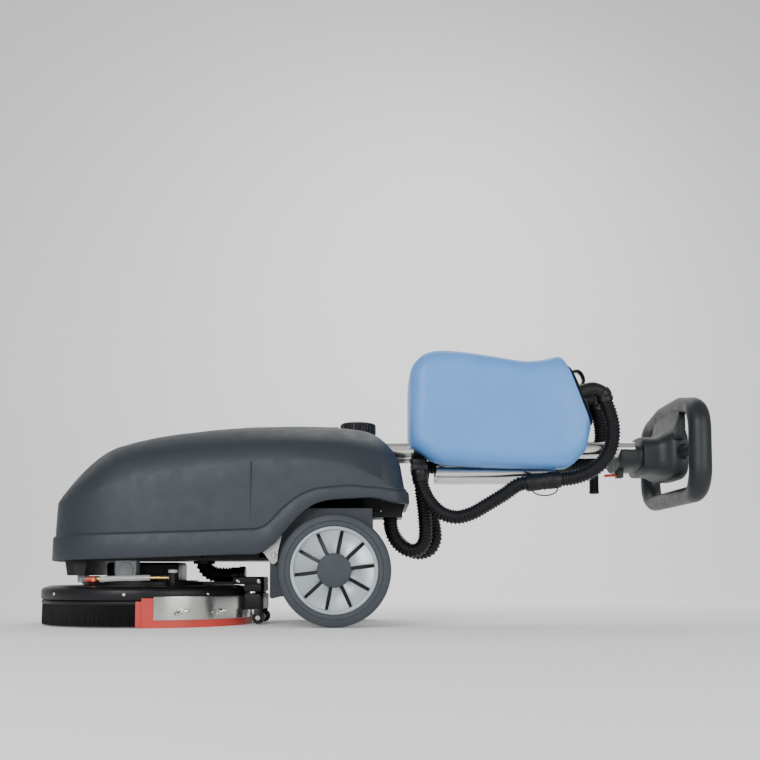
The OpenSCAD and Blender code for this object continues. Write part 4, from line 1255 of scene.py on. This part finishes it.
def make_side_brackets():
    """The bright plate in front of each wheel, with the tab it hangs by and its screw."""
    bm = bmesh.new()
    shape = ((-0.1625, 0.185), (-0.172, 0.176), (-0.2035, 0.150), (-0.1985, 0.145), (-0.1835, 0.1255),
             (-0.1775, 0.1245), (-0.1725, 0.1290), (-0.1705, 0.150))
    for side in (-1, 1):
        rings = []
        for d, grow in ((0.0, 0.97), (0.0005, 1.0), (0.0025, 1.0), (0.003, 0.97)):
            mid = Vector((-0.178, 0, 0.148))
            rings.append([mid + (Vector((x, 0, z)) - mid) * grow + Vector((0, side * (0.1735 + d), 0)) for x,
                          z in shape])
        loft(bm, rings)
        soft_box(bm, (-0.190, min(side * 0.1655, side * 0.174), 0.132),
                 (-0.184, max(side * 0.1655, side * 0.174), 0.154), 0.001, 2)
    piece("bracket_plates", bm, "bright_steel", "chassis", ["side_brackets"], limit=35)

    bm = bmesh.new()
    for side in (-1, 1):
        y = [side * v for v in (0.1760, 0.1764, 0.1790, 0.1796, 0.1802)]
        turned(bm, [(0.0005, y[0]), (0.0078, y[0]), (0.0078, y[1]), (0.0055, y[1]), (0.0055, y[2]),
                    (0.0045, y[4]), (0.0030, y[4]), (0.0026, y[2]), (0.0005, y[2])], (-0.180, 0, 0.143), "y",
               32)
    piece("bracket_screws", bm, "bright_steel", "chassis", ["bracket_bolts"], limit=30)


# ---------------------------------------------------------------- studio

def make_stage():
    """A pale floor that curves up behind, three soft lights and a white surround."""
    bm = bmesh.new()
    front, back, curve_r, wall_top, half_width, floor_z = -3.2, 2.2, 1.2, 4.5, 5.0, -0.0004
    steps = [(front, 0.0), (back, 0.0)]
    for k in range(1, 13):
        a = math.radians(7.5 * k)
        steps.append((back + curve_r * math.sin(a), curve_r * (1 - math.cos(a))))
    steps.append((back + curve_r, wall_top))
    loft(bm, [[Vector((x, y, z + floor_z)) for y, z in steps] for x in (-half_width, half_width)],
         closed=False, caps=False)
    floor = mesh_object("studio_floor", bm)
    mesh = floor.data
    mesh.polygons.foreach_set("use_smooth", [True] * len(mesh.polygons))
    mesh.materials.append(shader("studio_paper", (0.93, 0.93, 0.93), 0.9, bump=0.02, spread=0.01,
                                 Emission_Color=(1, 1, 1, 1), Emission_Strength=0.12))

    def softbox(name, at, target, size, power):
        """A square area light at one point, turned towards another."""
        data = bpy.data.lights.new(name, "AREA")
        data.shape, data.size, data.energy = "SQUARE", size, power
        lamp = bpy.data.objects.new(name, data)
        lamp.location = at
        lamp.rotation_euler = (Vector(target) - Vector(at)).to_track_quat("-Z", "Y").to_euler()
        bpy.context.scene.collection.objects.link(lamp)

    softbox("key_light", (-1.3, -2.9, 1.5), (0, 0, 0.25), 1.6, 62)
    softbox("fill_light", (1.9, -2.5, 1.0), (0.1, 0, 0.25), 1.4, 30)
    softbox("back_light", (0.4, 1.4, 2.2), (0, 2.6, 0.6), 1.8, 40)
    world = bpy.data.worlds.new("studio")
    world.use_nodes = True
    world.node_tree.nodes["Background"].inputs["Color"].default_value = (1, 1, 1, 1)
    world.node_tree.nodes["Background"].inputs["Strength"].default_value = 0.42
    bpy.context.scene.world = world


def dress_cad_nodes():
    """Put the material of its slot into every CAD node's own material slots."""
    for part in frame["record"]["subparts"]:
        mesh = NODES[part["node"]].data
        if not mesh.materials:
            mesh.materials.append(None)
        for slot in range(len(mesh.materials)):
            mesh.materials[slot] = MATERIALS[part["material_slot"]]


make_camera()
MATERIALS = make_materials()
make_hoses()
dress_cad_nodes()
make_hood()
make_wheels()
make_recovery_tank()
make_lid()
make_deck()
make_skirt()
make_brush()
make_squeegee()
make_wing_nuts()
make_suction_foot()
make_guide_rollers()
make_motor()
make_gear_case()
make_filler()
make_neck()
make_control_head()
make_panel()
make_ring_handle()
make_drain_stub()
make_coupling()
make_manifold()
make_nozzle()
make_valve_lever()
make_buttons()
make_tilt_lever()
make_side_brackets()
make_stage()
